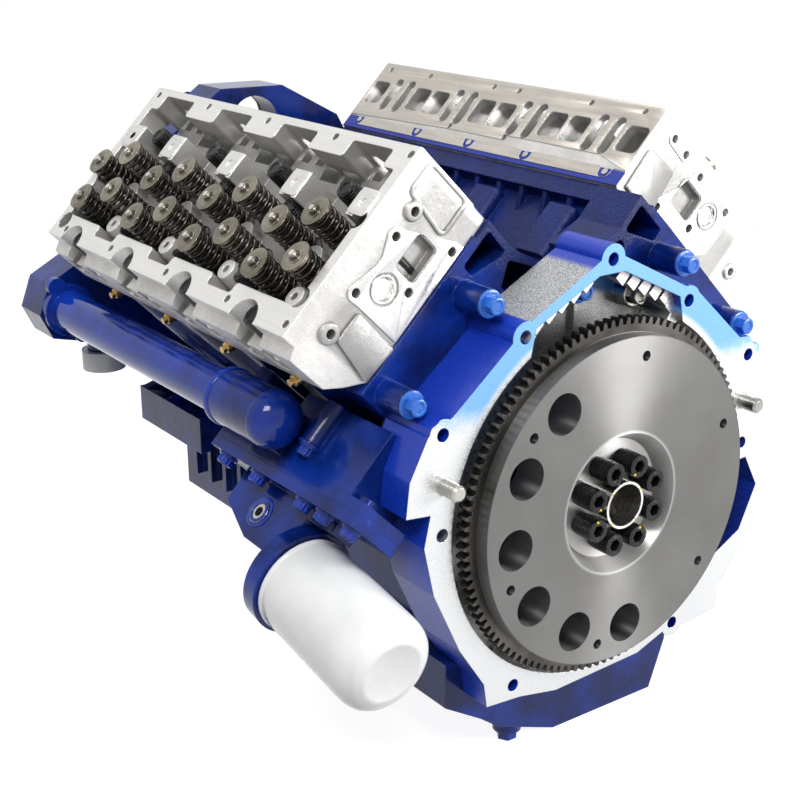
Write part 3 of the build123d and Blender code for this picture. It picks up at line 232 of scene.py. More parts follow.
def buildTurnedRings():
    # concentric lathe or grinding marks about the crankshaft's axis
    tree, start, end, place = newGroup("turnedRings", {"Scale": 900.0}, ("Rings", "Radius"))
    flat = addNode(tree, "ShaderNodeVectorMath", operation="MULTIPLY")
    flat.inputs[1].default_value = (1, 0, 1)
    feed(tree, flat, 0, place.outputs["Object"])
    size = addNode(tree, "ShaderNodeVectorMath", operation="LENGTH")
    feed(tree, size, 0, flat.outputs[0])
    noise = addNode(tree, "ShaderNodeTexNoise", Detail=3.0, Roughness=0.7, noise_dimensions="1D")
    feed(tree, noise, "W", times(tree, size.outputs["Value"], start.outputs["Scale"]))
    feed(tree, end, "Rings", noise.outputs[0])
    feed(tree, end, "Radius", size.outputs["Value"])
    return tree


def buildBankPlace():
    # w and t of a point, the same for both banks
    tree, start, end, place = newGroup("bankPlace", {}, ("W", "T", "X", "Z"))
    parts = addNode(tree, "ShaderNodeSeparateXYZ")
    feed(tree, parts, 0, place.outputs["Object"])
    outward = mathNode(tree, "ABSOLUTE", parts.outputs["X"])
    for name, sign in (("W", "SUBTRACT"), ("T", "ADD")):
        total = mathNode(tree, sign, parts.outputs["Z"], outward)
        feed(tree, end, name, times(tree, total, half))
    for name in ("X", "Z"):
        feed(tree, end, name, parts.outputs[name])
    return tree


groups = {
    "castGrain": buildCastGrain(), "edgeWear": buildEdgeWear(), "cutFace": buildCutFace(),
    "millMarks": buildMillMarks(), "turnedRings": buildTurnedRings(), "bankPlace": buildBankPlace(),
}
print("shared shader groups built:", len(groups))


def useGroup(tree, name, **values):
    node = tree.nodes.new("ShaderNodeGroup")
    node.node_tree = groups[name]
    for key, value in values.items():
        node.inputs[key].default_value = value
    return node


def startMaterial(name, **values):
    material = bpy.data.materials.new(name)
    material.use_nodes = True
    shader = material.node_tree.nodes["Principled BSDF"]
    for key, value in values.items():
        shader.inputs[key.replace("_", " ")].default_value = value
    return material, material.node_tree, shader


def addBump(tree, shader, height, strength, distance, normal=None):
    bump = addNode(tree, "ShaderNodeBump", Strength=strength, Distance=distance)
    tree.links.new(height, bump.inputs["Height"])
    if normal is not None:
        tree.links.new(normal, bump.inputs["Normal"])
    feed(tree, shader, "Normal", bump.outputs[0])


def colour(*values):
    return (*values, 1.0)


def shade(rgb, factor, lift=0.0):
    return colour(*(min(1.0, value * factor + lift) for value in rgb))


def makePaint(name, dark, light, lumps=70.0, bump=0.3, rough=(0.14, 0.22), coat=0.12, weight=0.12):
    # thick gloss enamel, wavy like the surface under it
    material, tree, shader = startMaterial(name, Coat_Weight=coat, Coat_Roughness=0.06)
    feed(tree, shader, "Specular IOR Level", 0.22)
    grain = useGroup(tree, "castGrain", Grain=420.0, Lumps=lumps, Weight=weight)
    edge = useGroup(tree, "edgeWear", Radius=0.0016)
    base = mixColour(tree, grain.outputs["Mottle"], colour(*dark), colour(*light))
    rub = times(tree, edge.outputs["Wear"], 0.35)
    base = mixColour(tree, rub, base, shade(light, 1.5, 0.015))
    feed(tree, shader, "Base Color", base)
    feed(tree, shader, "Roughness", ramp(tree, grain.outputs["Fine"], 0, 1, *rough))
    addBump(tree, shader, grain.outputs["Height"], bump, 0.0012, edge.outputs["Normal"])
    return material


def makeBlockPaint(name, dark, light):
    # the same enamel on the rough block, darker, dull and pebbled down in the valley
    material, tree, shader = startMaterial(name, Coat_Roughness=0.08)
    feed(tree, shader, "Specular IOR Level", 0.22)
    grain = useGroup(tree, "castGrain", Grain=300.0, Lumps=80.0, Weight=0.2)
    edge = useGroup(tree, "edgeWear", Radius=0.0025)
    spot = useGroup(tree, "bankPlace")
    valley = ramp(tree, spot.outputs["W"], 0.098, 0.106)
    base = mixColour(tree, grain.outputs["Mottle"], colour(*dark), colour(*light))
    # darker down in the valley, between half the dark tone and the dark tone
    valleyDark = mixColour(tree, grain.outputs["Fine"], shade(dark, 0.5), shade(dark, 1.0, 0.006))
    base = mixColour(tree, times(tree, valley, 0.7), base, valleyDark)
    rub = times(tree, edge.outputs["Wear"], 0.3)
    base = mixColour(tree, rub, base, shade(light, 1.4, 0.01))
    feed(tree, shader, "Base Color", base)
    rough = mathNode(tree, "ADD", ramp(tree, grain.outputs["Fine"], 0, 1, 0.15, 0.24),
                     times(tree, valley, 0.16))
    feed(tree, shader, "Roughness", rough)
    coat = mathNode(tree, "SUBTRACT", 0.12, times(tree, valley, 0.1))
    feed(tree, shader, "Coat Weight", coat)
    pebbles = times(tree, grain.outputs["Fine"], mathNode(tree, "ADD", 0.12, valley))
    height = mathNode(tree, "ADD", grain.outputs["Height"], times(tree, pebbles, 0.5))
    addBump(tree, shader, height, 0.4, 0.0013, edge.outputs["Normal"])
    return material


def makeHead(name, dark, light, face):
    # bare silver casting with milled rails and painted shade down in the pockets between them, its foot and
    # lower face edges caught by blue paint
    material, tree, shader = startMaterial(name, Metallic=0.72)
    grain = useGroup(tree, "castGrain", Grain=900.0, Lumps=110.0)
    edge = useGroup(tree, "edgeWear", Radius=0.0018)
    spot = useGroup(tree, "bankPlace")
    base = mixColour(tree, grain.outputs["Mottle"], colour(*dark), colour(*light))
    soot = times(tree, grain.outputs["Fine"], 0.22)
    base = mixColour(tree, soot, base, shade(dark, 0.55))
    base = mixColour(tree, edge.outputs["Wear"], base, shade(light, 1.3))
    # painted shade: the pockets between the rails, below the rail tops, are darkened
    pocketShade = times(tree, ramp(tree, spot.outputs["T"], 0.352, 0.331), 0.62)
    inside = times(tree, ramp(tree, spot.outputs["W"], -0.066, -0.060),
                      ramp(tree, spot.outputs["W"], 0.118, 0.112))
    base = mixColour(tree, times(tree, pocketShade, inside), base, shade(dark, 0.32))
    mask = None
    for axis, offset in (((-half, 0, half), 0.36835), ((half, 0, half), 0.36835)):
        cut = useGroup(tree, "cutFace", Axis=axis, Offset=offset)
        mask = cut.outputs[0] if mask is None else mathNode(tree, "MAXIMUM", mask, cut.outputs[0])
    marks = useGroup(tree, "millMarks", Scale=240.0)
    base = mixColour(tree, mask, base, mixColour(tree, marks.outputs[0], shade(face, 0.84), colour(*face)))
    low = times(tree, ramp(tree, spot.outputs["W"], 0.1235, 0.1245),
                   ramp(tree, spot.outputs["T"], 0.2850, 0.2835))
    base = mixColour(tree, low, base, colour(0.003, 0.018, 0.24))
    feed(tree, shader, "Base Color", base)
    metal = times(tree, mathNode(tree, "SUBTRACT", 1.0, low), 0.72)
    feed(tree, shader, "Metallic", metal)
    rough = ramp(tree, grain.outputs["Fine"], 0, 1, 0.36, 0.56)
    smooth = ramp(tree, marks.outputs[0], 0.3, 0.7, 0.26, 0.38)
    feed(tree, shader, "Roughness", mixValue(tree, mask, rough, smooth))
    keep = mathNode(tree, "SUBTRACT", 1.0, times(tree, mask, 0.93))
    height = times(tree, grain.outputs["Height"], keep)
    addBump(tree, shader, height, 0.5, 0.0007, edge.outputs["Normal"])
    return material


def makeMilled(name, dark, light):
    # milled aluminium pads and plates
    material, tree, shader = startMaterial(name, Metallic=0.85)
    grain = useGroup(tree, "castGrain", Grain=700.0, Lumps=40.0)
    edge = useGroup(tree, "edgeWear", Radius=0.0006)
    marks = useGroup(tree, "millMarks", Scale=260.0)
    base = mixColour(tree, marks.outputs[0], colour(*dark), colour(*light))
    stain = times(tree, grain.outputs["Mottle"], 0.3)
    base = mixColour(tree, stain, base, shade(dark, 0.72))
    base = mixColour(tree, times(tree, edge.outputs["Wear"], 0.7), base, shade(light, 1.25))
    feed(tree, shader, "Base Color", base)
    feed(tree, shader, "Roughness", ramp(tree, marks.outputs[0], 0.3, 0.7, 0.26, 0.4))
    addBump(tree, shader, marks.outputs[0], 0.12, 0.0002, edge.outputs["Normal"])
    return material


def makeMetal(name, dark, light, rough=(0.22, 0.36), metallic=1.0, scale=260.0, bump=0.12, wear=0.6):
    # plain worked steel with fine handling marks
    material, tree, shader = startMaterial(name, Metallic=metallic)
    grain = useGroup(tree, "castGrain", Grain=scale * 4, Lumps=scale)
    edge = useGroup(tree, "edgeWear", Radius=0.0005)
    base = mixColour(tree, grain.outputs["Mottle"], colour(*dark), colour(*light))
    rub = times(tree, edge.outputs["Wear"], wear)
    base = mixColour(tree, rub, base, shade(light, 1.8, 0.05))
    feed(tree, shader, "Base Color", base)
    feed(tree, shader, "Roughness", ramp(tree, grain.outputs["Fine"], 0, 1, *rough))
    addBump(tree, shader, grain.outputs["Height"], bump, 0.0002, edge.outputs["Normal"])
    return material


def makeFlywheel():
    # cast wheel, ground on its face: fine rings, darker chamfer at the rim, soft stains
    material, tree, shader = startMaterial("groundFlywheel", Metallic=1.0, Anisotropic=0.85)
    feed(tree, shader, "Anisotropic Rotation", 0.25)
    rings = useGroup(tree, "turnedRings", Scale=1400.0)
    grain = useGroup(tree, "castGrain", Grain=500.0, Lumps=60.0)
    base = mixColour(tree, rings.outputs["Rings"], colour(0.11, 0.109, 0.107), colour(0.27, 0.267, 0.262))
    stain = times(tree, grain.outputs["Mottle"], 0.3)
    base = mixColour(tree, stain, base, colour(0.13, 0.126, 0.12))
    rim = ramp(tree, rings.outputs["Radius"], 0.1655, 0.1668)
    base = mixColour(tree, times(tree, rim, 0.7), base, colour(0.10, 0.098, 0.095))
    hollow = ramp(tree, rings.outputs["Radius"], 0.075, 0.071)
    base = mixColour(tree, times(tree, hollow, 0.5), base, colour(0.62, 0.61, 0.60))
    feed(tree, shader, "Base Color", base)
    feed(tree, shader, "Roughness", ramp(tree, rings.outputs["Rings"], 0.3, 0.7, 0.32, 0.44))
    tangent = addNode(tree, "ShaderNodeTangent", direction_type="RADIAL", axis="Y")
    feed(tree, shader, "Tangent", tangent.outputs[0])
    addBump(tree, shader, rings.outputs["Rings"], 0.2, 0.00012)
    return material


def makeHousing():
    # silver casting: light blue mist over the top, royal blue flanks and a bare strip at the top left
    material, tree, shader = startMaterial("housingCasting")
    grain = useGroup(tree, "castGrain", Grain=800.0, Lumps=110.0)
    edge = useGroup(tree, "edgeWear", Radius=0.0014)
    cut = useGroup(tree, "cutFace", Axis=(0, -1, 0), Offset=-0.026)
    rings = useGroup(tree, "turnedRings")
    spot = useGroup(tree, "bankPlace")
    silver = mixColour(tree, grain.outputs["Mottle"], colour(0.42, 0.42, 0.41), colour(0.62, 0.61, 0.60))
    silver = mixColour(tree, cut.outputs[0], silver, colour(0.64, 0.65, 0.66))
    wander = times(tree, mathNode(tree, "SUBTRACT", grain.outputs["Mottle"], 0.5), 0.022)
    high = ramp(tree, mathNode(tree, "ADD", spot.outputs["Z"], wander), 0.098, 0.122)
    mist = times(tree, high, ramp(tree, rings.outputs["Radius"], 0.189, 0.197))
    left = ramp(tree, spot.outputs["X"], -0.02, -0.09)
    inner = times(tree, times(tree, left, 0.5), ramp(tree, spot.outputs["Z"], -0.02, 0.09))
    place = addNode(tree, "ShaderNodeTexCoord")
    facing = addNode(tree, "ShaderNodeSeparateXYZ")
    tree.links.new(place.outputs["Normal"], facing.inputs[0])
    side = ramp(tree, facing.outputs["Y"], -0.4, -0.1)
    flank = times(tree, side, ramp(tree, rings.outputs["Radius"], 0.196, 0.2))
    bareX = ramp(tree, spot.outputs["X"], -0.104, -0.098)
    bareX = times(tree, bareX, ramp(tree, spot.outputs["X"], -0.022, -0.03))
    bare = times(tree, bareX, ramp(tree, spot.outputs["Z"], 0.15, 0.17))
    pale = mixColour(tree, cut.outputs[0], colour(0.05, 0.27, 0.72), colour(0.13, 0.40, 0.80))
    uncut = times(tree, inner, mathNode(tree, "SUBTRACT", 1.0, cut.outputs[0]))
    amount = mathNode(tree, "MAXIMUM", times(tree, mist, 0.92), uncut)
    base = mixColour(tree, amount, silver, pale)
    base = mixColour(tree, flank, base, colour(0.004, 0.032, 0.36))
    speckle = mixColour(tree, grain.outputs["Fine"], colour(0.16, 0.17, 0.19), colour(0.50, 0.50, 0.50))
    stripped = times(tree, bare, side)
    base = mixColour(tree, stripped, base, speckle)
    feed(tree, shader, "Base Color", base)
    painted = mathNode(tree, "MAXIMUM", amount, mathNode(tree, "SUBTRACT", flank, stripped), clamp=True)
    feed(tree, shader, "Metallic", mathNode(tree, "SUBTRACT", 0.8, times(tree, painted, 0.8)))
    feed(tree, shader, "Roughness", ramp(tree, grain.outputs["Fine"], 0, 1, 0.26, 0.44))
    keep = mathNode(tree, "SUBTRACT", 1.0, times(tree, cut.outputs[0], 0.85))
    height = times(tree, grain.outputs["Height"], keep)
    addBump(tree, shader, height, 0.4, 0.0006, edge.outputs["Normal"])
    return material


def makeHousingBolts(name, blue, steel):
    # painted with the block, but for the one bare bolt at the right inside the housing
    material, tree, shader = startMaterial(name, Coat_Roughness=0.08)
    grain = useGroup(tree, "castGrain", Grain=600.0, Lumps=200.0)
    edge = useGroup(tree, "edgeWear", Radius=0.0006)
    spot = useGroup(tree, "bankPlace")
    bare = ramp(tree, spot.outputs["X"], 0.045, 0.05)
    bare = times(tree, bare, ramp(tree, spot.outputs["X"], 0.09, 0.085))
    paint = mixColour(tree, edge.outputs["Wear"], colour(*blue), shade(blue, 1.6, 0.03))
    metal = mixColour(tree, grain.outputs["Mottle"], shade(steel, 0.75), colour(*steel))
    feed(tree, shader, "Base Color", mixColour(tree, bare, paint, metal))
    feed(tree, shader, "Metallic", bare)
    feed(tree, shader, "Roughness", ramp(tree, grain.outputs["Fine"], 0, 1, 0.18, 0.32))
    addBump(tree, shader, grain.outputs["Height"], 0.15, 0.0003, edge.outputs["Normal"])
    return material


# painted shade: the first blue, for the block, pans and covers, is a darker copy of the same enamel as the
# glossy second, darkened for the shade on the block; the second keeps the lighter, lit tone on the tube and
# bolts
paints = {
    "blue": ((0.001, 0.009, 0.085), (0.003, 0.030, 0.27)),
    "litGlossBlue": ((0.003, 0.022, 0.21), (0.005, 0.042, 0.40)),
    "brightBlue": (0.02, 0.13, 0.52),
    "bareSteel": (0.60, 0.58, 0.54),
}
materials = {
    "blockPaint": makeBlockPaint("blockPaint", *paints["blue"]),
    "bluePaint": makePaint("bluePaint", *paints["blue"]),
    "blueSmooth": makePaint(
        "blueSmooth", *paints["litGlossBlue"], lumps=26.0, bump=0.10, rough=(0.08, 0.14), coat=0.2),
    "headCasting": makeHead("headCasting", (0.50, 0.49, 0.475), (0.66, 0.65, 0.63), (0.78, 0.77, 0.75)),
    "milled": makeMilled("milledAluminium", (0.60, 0.59, 0.57), (0.80, 0.79, 0.77)),
    "milledWarm": makeMilled("milledWarm", (0.44, 0.41, 0.37), (0.66, 0.62, 0.56)),
    "housing": makeHousing(),
    "housingBolts": makeHousingBolts("housingBolts", paints["brightBlue"], paints["bareSteel"]),
    "flywheel": makeFlywheel(),
    "ringGear": makeMetal("hardRing", (0.050, 0.047, 0.044), (0.12, 0.112, 0.105), rough=(0.3, 0.5)),
    "blackBolt": makeMetal(
        "blackBolt", (0.010, 0.010, 0.011), (0.030, 0.029, 0.029), rough=(0.2, 0.38), metallic=0.7),
    "springSteel": makeMetal("springSteel", (0.030, 0.027, 0.025), (0.085, 0.074, 0.066), rough=(0.18, 0.34)),
    "retainer": makeMetal("retainerSteel", (0.17, 0.155, 0.12), (0.32, 0.295, 0.24), rough=(0.24, 0.4)),
    "brightSteel": makeMetal("brightSteel", (0.56, 0.55, 0.53), (0.76, 0.75, 0.73), rough=(0.16, 0.3)),
    "dowelSteel": makeMetal("dowelSteel", (0.24, 0.235, 0.22), (0.42, 0.41, 0.38), rough=(0.26, 0.42)),
    "plated": makeMetal("platedSteel", (0.42, 0.40, 0.36), (0.62, 0.60, 0.55), rough=(0.22, 0.4)),
    "brass": makeMetal("plugBrass", (0.42, 0.27, 0.09), (0.66, 0.46, 0.18), rough=(0.22, 0.36)),
    "gasket": makeMetal("gasketSteel", (0.16, 0.16, 0.17), (0.3, 0.3, 0.3), rough=(0.3, 0.5)),
    "bearing": makeMetal("bearingMetal", (0.55, 0.52, 0.47), (0.7, 0.67, 0.62), rough=(0.3, 0.42)),
    "pistonAlloy": makeMetal("pistonAlloy", (0.60, 0.60, 0.59), (0.74, 0.74, 0.73), rough=(0.26, 0.4)),
    "forged": makeMetal("forgedSteel", (0.20, 0.19, 0.185), (0.42, 0.41, 0.40), rough=(0.26, 0.44)),
    "seal": makePaint(
        "sealRubber", (0.012, 0.012, 0.012), (0.03, 0.03, 0.03), bump=0.1, rough=(0.5, 0.62), coat=0.0),
    "filterWhite": makePaint(
        "filterWhite", (0.74, 0.75, 0.745), (0.83, 0.835, 0.83),
        lumps=18.0, bump=0.03, rough=(0.12, 0.2), weight=0.02),
    "capPlastic": makePaint(
        "capPlastic", (0.70, 0.72, 0.72), (0.82, 0.84, 0.84),
        lumps=24.0, bump=0.04, rough=(0.35, 0.45), coat=0.1),
    "yellowDot": makePaint(
        "yellowDot", (0.75, 0.50, 0.02), (0.90, 0.66, 0.05),
        lumps=300.0, bump=0.2, rough=(0.4, 0.55), coat=0.1),
    "darkBore": makePaint(
        "darkBore", (0.008, 0.008, 0.009), (0.018, 0.018, 0.02), bump=0.1, rough=(0.5, 0.7), coat=0.0),
}
print("materials ready:", len(materials))

finishes = {
    "blockPaint": ("engine_block",),
    "bluePaint": ("front_gear_housing", "front_cover", "upper_oil_pan", "lower_oil_pan",
                  "oil_cooler_housing", "oil_filter_head", "mount_bracket", "main_bearing_caps"),
    "blueSmooth": ("coolant_tube", "cooler_bolts", "drain_plug"),
    "headCasting": ("left_cylinder_head", "right_cylinder_head"),
    "housing": ("flywheel_housing",),
    "housingBolts": ("housing_bolts",),
    "flywheel": ("flywheel",),
    "ringGear": ("ring_gear",),
    "blackBolt": ("head_bolts", "flywheel_bolts", "main_cap_bolts"),
    "springSteel": ("left_valve_springs", "right_valve_springs"),
    "brightSteel": ("pilot_sleeve",),
    "dowelSteel": ("housing_dowels",),
    "brass": ("glow_plugs",),
    "plated": ("filter_head_plug",),
    "gasket": ("head_gaskets",),
    "bearing": ("main_bearing_shells",),
    "forged": ("crankshaft", "camshaft", "crank_gear", "cam_gear"),
    "seal": ("rear_main_seal",),
    "filterWhite": ("oil_filter",),
    "capPlastic": ("port_cap",),
}


def nodeFinish(node):
    for name, nodes in finishes.items():
        if node in nodes:
            return name
    return "pistonAlloy" if "_piston_" in node else "retainer"


for node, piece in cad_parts.items():
    piece.data.materials.clear()
    piece.data.materials.append(materials[nodeFinish(node)])
print("solids dressed:", len(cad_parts))


# mesh helpers


def finishPiece(name, bm, material, body="block", crease=32, bevel=None):
    bmesh.ops.remove_doubles(bm, verts=bm.verts, dist=0.000005)
    bmesh.ops.recalc_face_normals(bm, faces=bm.faces)
    mesh = bpy.data.meshes.new(name)
    bm.to_mesh(mesh)
    bm.free()
    mesh.shade_smooth()
    mesh.set_sharp_from_angle(angle=radians(crease))
    mesh.materials.append(materials[material])
    piece = bpy.data.objects.new(name, mesh)
    scene.collection.objects.link(piece)
    if bevel:
        soft = piece.modifiers.new("soft", "BEVEL")
        soft.width = bevel * mm
        soft.segments = 2
        soft.limit_method = "ANGLE"
        soft.angle_limit = radians(40)
        soft.harden_normals = True
    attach(piece, body)
    return piece


def addPart(bm, part, place):
    # a shape built in a bmesh of its own goes into bm at its place
    mesh = bpy.data.meshes.new("part")
    part.to_mesh(mesh)
    part.free()
    mesh.transform(place)
    bm.from_mesh(mesh)
    bpy.data.meshes.remove(mesh)


def addRod(bm, place, radius, low, high, sides=28, top=None):
    # a rod along place's own Z, tapered when top differs
    made = bmesh.ops.create_cone(
        bm, cap_ends=True, segments=sides, radius1=radius * mm, radius2=(radius if top is None else top) * mm,
        depth=(high - low) * mm)
    middle = Matrix.Translation((0, 0, (low + high) / 2 * mm))
    bmesh.ops.transform(bm, matrix=place @ middle, verts=made["verts"])


def addLathe(bm, place, profile, sides=32):
    # a profile of (radius, height) turned about place's own Z, closed to itself off the axis
    part = bmesh.new()
    verts = [part.verts.new((radius * mm, 0, height * mm)) for radius, height in profile]
    pairs = list(zip(verts, verts[1:]))
    if profile[0][0] > 0 or profile[-1][0] > 0:
        pairs.append((verts[-1], verts[0]))
    edges = [part.edges.new(pair) for pair in pairs]
    bmesh.ops.spin(
        part, geom=verts + edges, cent=(0, 0, 0), axis=(0, 0, 1), angle=2 * pi, steps=sides, use_merge=True)
    addPart(bm, part, place)


def addRing(bm, place, inner, outer, low, high, soft=0.6, flare=0.0, sides=32):
    # a collar with a bore, its outer edge softened
    addLathe(bm, place, (
        (inner, low), (outer + flare, low), (outer, high - soft), (outer - soft * 0.3, high - soft * 0.3),
        (outer - soft, high), (inner + 0.3, high), (inner, high - 0.3)), sides)


def addPrism(bm, place, points, low, high):
    # a flat outline in place's XY, raised from low to high
    part = bmesh.new()
    face = part.faces.new([part.verts.new((x * mm, y * mm, low * mm)) for x, y in points])
    made = bmesh.ops.extrude_face_region(part, geom=[face], use_keep_orig=True)
    top = [vert for vert in made["geom"] if isinstance(vert, bmesh.types.BMVert)]
    bmesh.ops.translate(part, vec=(0, 0, (high - low) * mm), verts=top)
    addPart(bm, part, place)


def addStar(bm, place, radius, low, high, points=12, notch=0.9):
    # a bolt head with that many points
    outline = []
    for index in range(2 * points):
        reach = radius * (notch if index % 2 else 1.0)
        angle = pi * index / points
        outline.append((reach * cos(angle), reach * sin(angle)))
    addPrism(bm, place, outline, low, high)


def circle(x, y, radius, sides=28):
    turns = [2 * pi * k / sides for k in range(sides)]
    return [(x + radius * cos(turn), y + radius * sin(turn)) for turn in turns]


def heading(first, second):
    dx, dy = second[0] - first[0], second[1] - first[1]
    return atan2(dy, dx) + asin((first[2] - second[2]) / hypot(dx, dy))


def belt(circles, step=14):
    # an outline stretched anticlockwise round circles of (x, y, radius), hollowed by a negative radius
    points = []
    for index, (x, y, radius) in enumerate(circles):
        arrive = heading(circles[index - 1], circles[index])
        leave = heading(circles[index], circles[(index + 1) % len(circles)])
        turn = (leave - arrive) % (2 * pi)
        if radius < 0:
            turn -= 2 * pi
        steps = max(1, int(abs(degrees(turn)) / step))
        for k in range(steps + 1):
            angle = arrive + turn * k / steps - pi / 2
            points.append((x + radius * cos(angle), y + radius * sin(angle)))
    return points


def slot(x0, x1, y0, y1, r):
    return belt([(x0 + r, y0 + r, r), (x1 - r, y0 + r, r), (x1 - r, y1 - r, r), (x0 + r, y1 - r, r)])


def addFlat(bm, place, loops, low, high, soft=0.3):
    # a flat curve filled between its outline and its holes, made a mesh
    curve = bpy.data.curves.new("flat", "CURVE")
    curve.dimensions = "2D"
    curve.fill_mode = "BOTH"
    curve.bevel_depth = soft * mm
    curve.bevel_resolution = 1
    curve.offset = -soft * mm
    curve.extrude = ((high - low) / 2 - soft) * mm
    for loop in loops:
        line = curve.splines.new("POLY")
        line.points.add(len(loop) - 1)
        for point, (x, y) in zip(line.points, loop):
            point.co = (x * mm, y * mm, 0, 1)
        line.use_cyclic_u = True
    holder = bpy.data.objects.new("flat", curve)
    mesh = bpy.data.meshes.new_from_object(holder)
    mesh.transform(place @ Matrix.Translation((0, 0, (low + high) / 2 * mm)))
    bm.from_mesh(mesh)
    bpy.data.objects.remove(holder)
    bpy.data.curves.remove(curve)
    bpy.data.meshes.remove(mesh)


def onBank(side, w, y, t):
    # y here is the bank's own, and Z points along the cylinders
    return bankMatrix[side] @ Matrix.Translation((w * mm, y * mm, t * mm))


def onRear(side, y):
    # local x is w, local y is t and Z points to the rear of the engine
    turned = Matrix(((1, 0, 0, 0), (0, 0, -1 if side == "left" else 1, 0), (0, 1, 0, 0), (0, 0, 0, 1)))
    return bankMatrix[side] @ Matrix.Translation((0, bankY(side, y) * mm, 0)) @ turned


def onIntake(side):
    # local x is the bank's own y, local y is t and Z points to the valley
    turned = Matrix(((0, 0, 1, 0), (1, 0, 0, 0), (0, 1, 0, 0), (0, 0, 0, 1)))
    return bankMatrix[side] @ Matrix.Translation((layout["intakeW"] * mm, 0, 0)) @ turned


def atRear(x, y, z):
    # Z points to the rear
    return Matrix.Translation((x * mm, y * mm, z * mm)) @ Matrix.Rotation(radians(90), 4, "X")


# valve gear


def dressValves():
    tip = {"top": 18.5, "low": 14.0, "stem": 3.5, "chamfer": 1.0}
    keeper = {"outer": 6.0, "low": 12.4, "top": 14.6, "soft": 1.4, "flare": 0.4}
    for side in banks:
        for index in range(layout["cylinders"]):
            for kind, places in layout["valves"].items():
                body = f"{side}_{kind}_valves_{index + 1}"
                tips, keepers = bmesh.new(), bmesh.new()
                for w, dy in places:
                    place = onBank(side, w, cylinderY(side, index) + dy, layout["railT"])
                    low, top, outer = tip["low"], tip["top"], tip["stem"] + 0.1
                    addLathe(tips, place, (
                        (0, low), (outer, low), (outer, top - tip["chamfer"]),
                        (tip["stem"] - 0.8, top + 0.1), (0, top + 0.1)), 20)
                    addRing(keepers, place, tip["stem"] + 0.15, keeper["outer"], keeper["low"],
                            keeper["top"], keeper["soft"], keeper["flare"], 20)
                finishPiece(f"{side}StemTips{kind.title()}{index + 1}", tips, "brightSteel", body)
                finishPiece(f"{side}Keepers{kind.title()}{index + 1}", keepers, "springSteel", body)


def dressSpringSeats():
    seat = {"inner": 9.4, "outer": 16.0, "height": 1.7}
    for side in banks:
        bm = bmesh.new()
        for index in range(layout["cylinders"]):
            for places in layout["valves"].values():
                for w, dy in places:
                    place = onBank(side, w, cylinderY(side, index) + dy, layout["seatT"])
                    addRing(bm, place, 15.0, seat["outer"], -0.2, seat["height"], 0.4, 0.0, 24)
                    addRing(bm, place, 8.0, seat["inner"], -0.2, 4.0, 0.5, 0.0, 20)
        finishPiece(f"{side}SpringSeats", bm, "springSteel")


def dressHeadBolts():
    # tall ribbed twelve-point heads over the plain ones
    bolt = {"seat": 8.0, "flange": 10.9, "head": 10.6, "ribs": 5}
    for side in banks:
        bm = bmesh.new()
        for w, y in headBoltPlaces(side):
            place = onBank(side, w, y, layout["seatT"] + bolt["seat"])
            addRing(bm, place, 6.0, bolt["flange"], 0.1, 4.6, 1.0, 0.0, 28)
            addStar(bm, place, bolt["head"], 4.0, 21.6, 12, 0.93)
            for rib in range(bolt["ribs"]):
                height = 6.4 + 2.9 * rib
                addRing(bm, place, 7.0, bolt["head"] + 0.25, height, height + 1.3, 0.5, 0.0, 28)
            addLathe(bm, place, (
                (0, 21.4), (8.6, 21.4), (8.6, 22.2), (7.4, 23.0), (5.8, 23.0), (5.2, 21.9), (0, 21.9)), 24)
        finishPiece(f"{side}HeadBoltTops", bm, "blackBolt")


dressValves()
dressSpringSeats()
dressHeadBolts()
print("valve gear dressed")


# cylinder heads


def dressRails():
    # rocker pads with bored holes, round bosses beside the springs and tilted bosses at the outer side
    pads = {"w": 59.0, "width": 27.0, "length": 30.0, "hole": 4.2, "height": 1.2, "end": 22.0}
    bosses = {"w": -43.1, "first": 27.7, "step": 120.1, "outer": 10.7, "hole": 4.0, "top": 365.5}
    tilted = {"w": -84.5, "t": 336.0, "first": 38.0, "step": 122.6, "outer": 8.6, "hole": 3.6, "turn": -52}
    for side in banks:
        y0, y1 = headEnds(side)
        flats, rings = bmesh.new(), bmesh.new()
        for index in range(layout["cylinders"] + 1):
            y = cylinderY(side, index) - bankY(side, layout["pitch"] / 2)
            y = min(max(y, y0 + pads["end"]), y1 - pads["end"])
            place = onBank(side, pads["w"], y, layout["railT"])
            wide, long = pads["width"] / 2, pads["length"] / 2
            loops = [slot(-wide, wide, -long + 1.5, long - 1.5, 4.5), circle(0, 0, pads["hole"])]
            addFlat(flats, place, loops, -0.3, pads["height"], 0.4)
        for index in range(layout["cylinders"]):
            place = onBank(side, bosses["w"], y0 + bosses["first"] + bosses["step"] * index, bosses["top"])
            addRing(rings, place, bosses["hole"], bosses["outer"], -35.0, 0.0, 1.2, 2.5)
            turn = Matrix.Rotation(radians(tilted["turn"]), 4, "Y")
            y = y0 + tilted["first"] + tilted["step"] * index
            place = onBank(side, tilted["w"], y, tilted["t"]) @ turn
            addRing(rings, place, tilted["hole"], tilted["outer"], -16.0, 6.0, 1.2, 2.0)
        finishPiece(f"{side}RockerPads", flats, "milled")
        finishPiece(f"{side}CastBosses", rings, "headCasting")


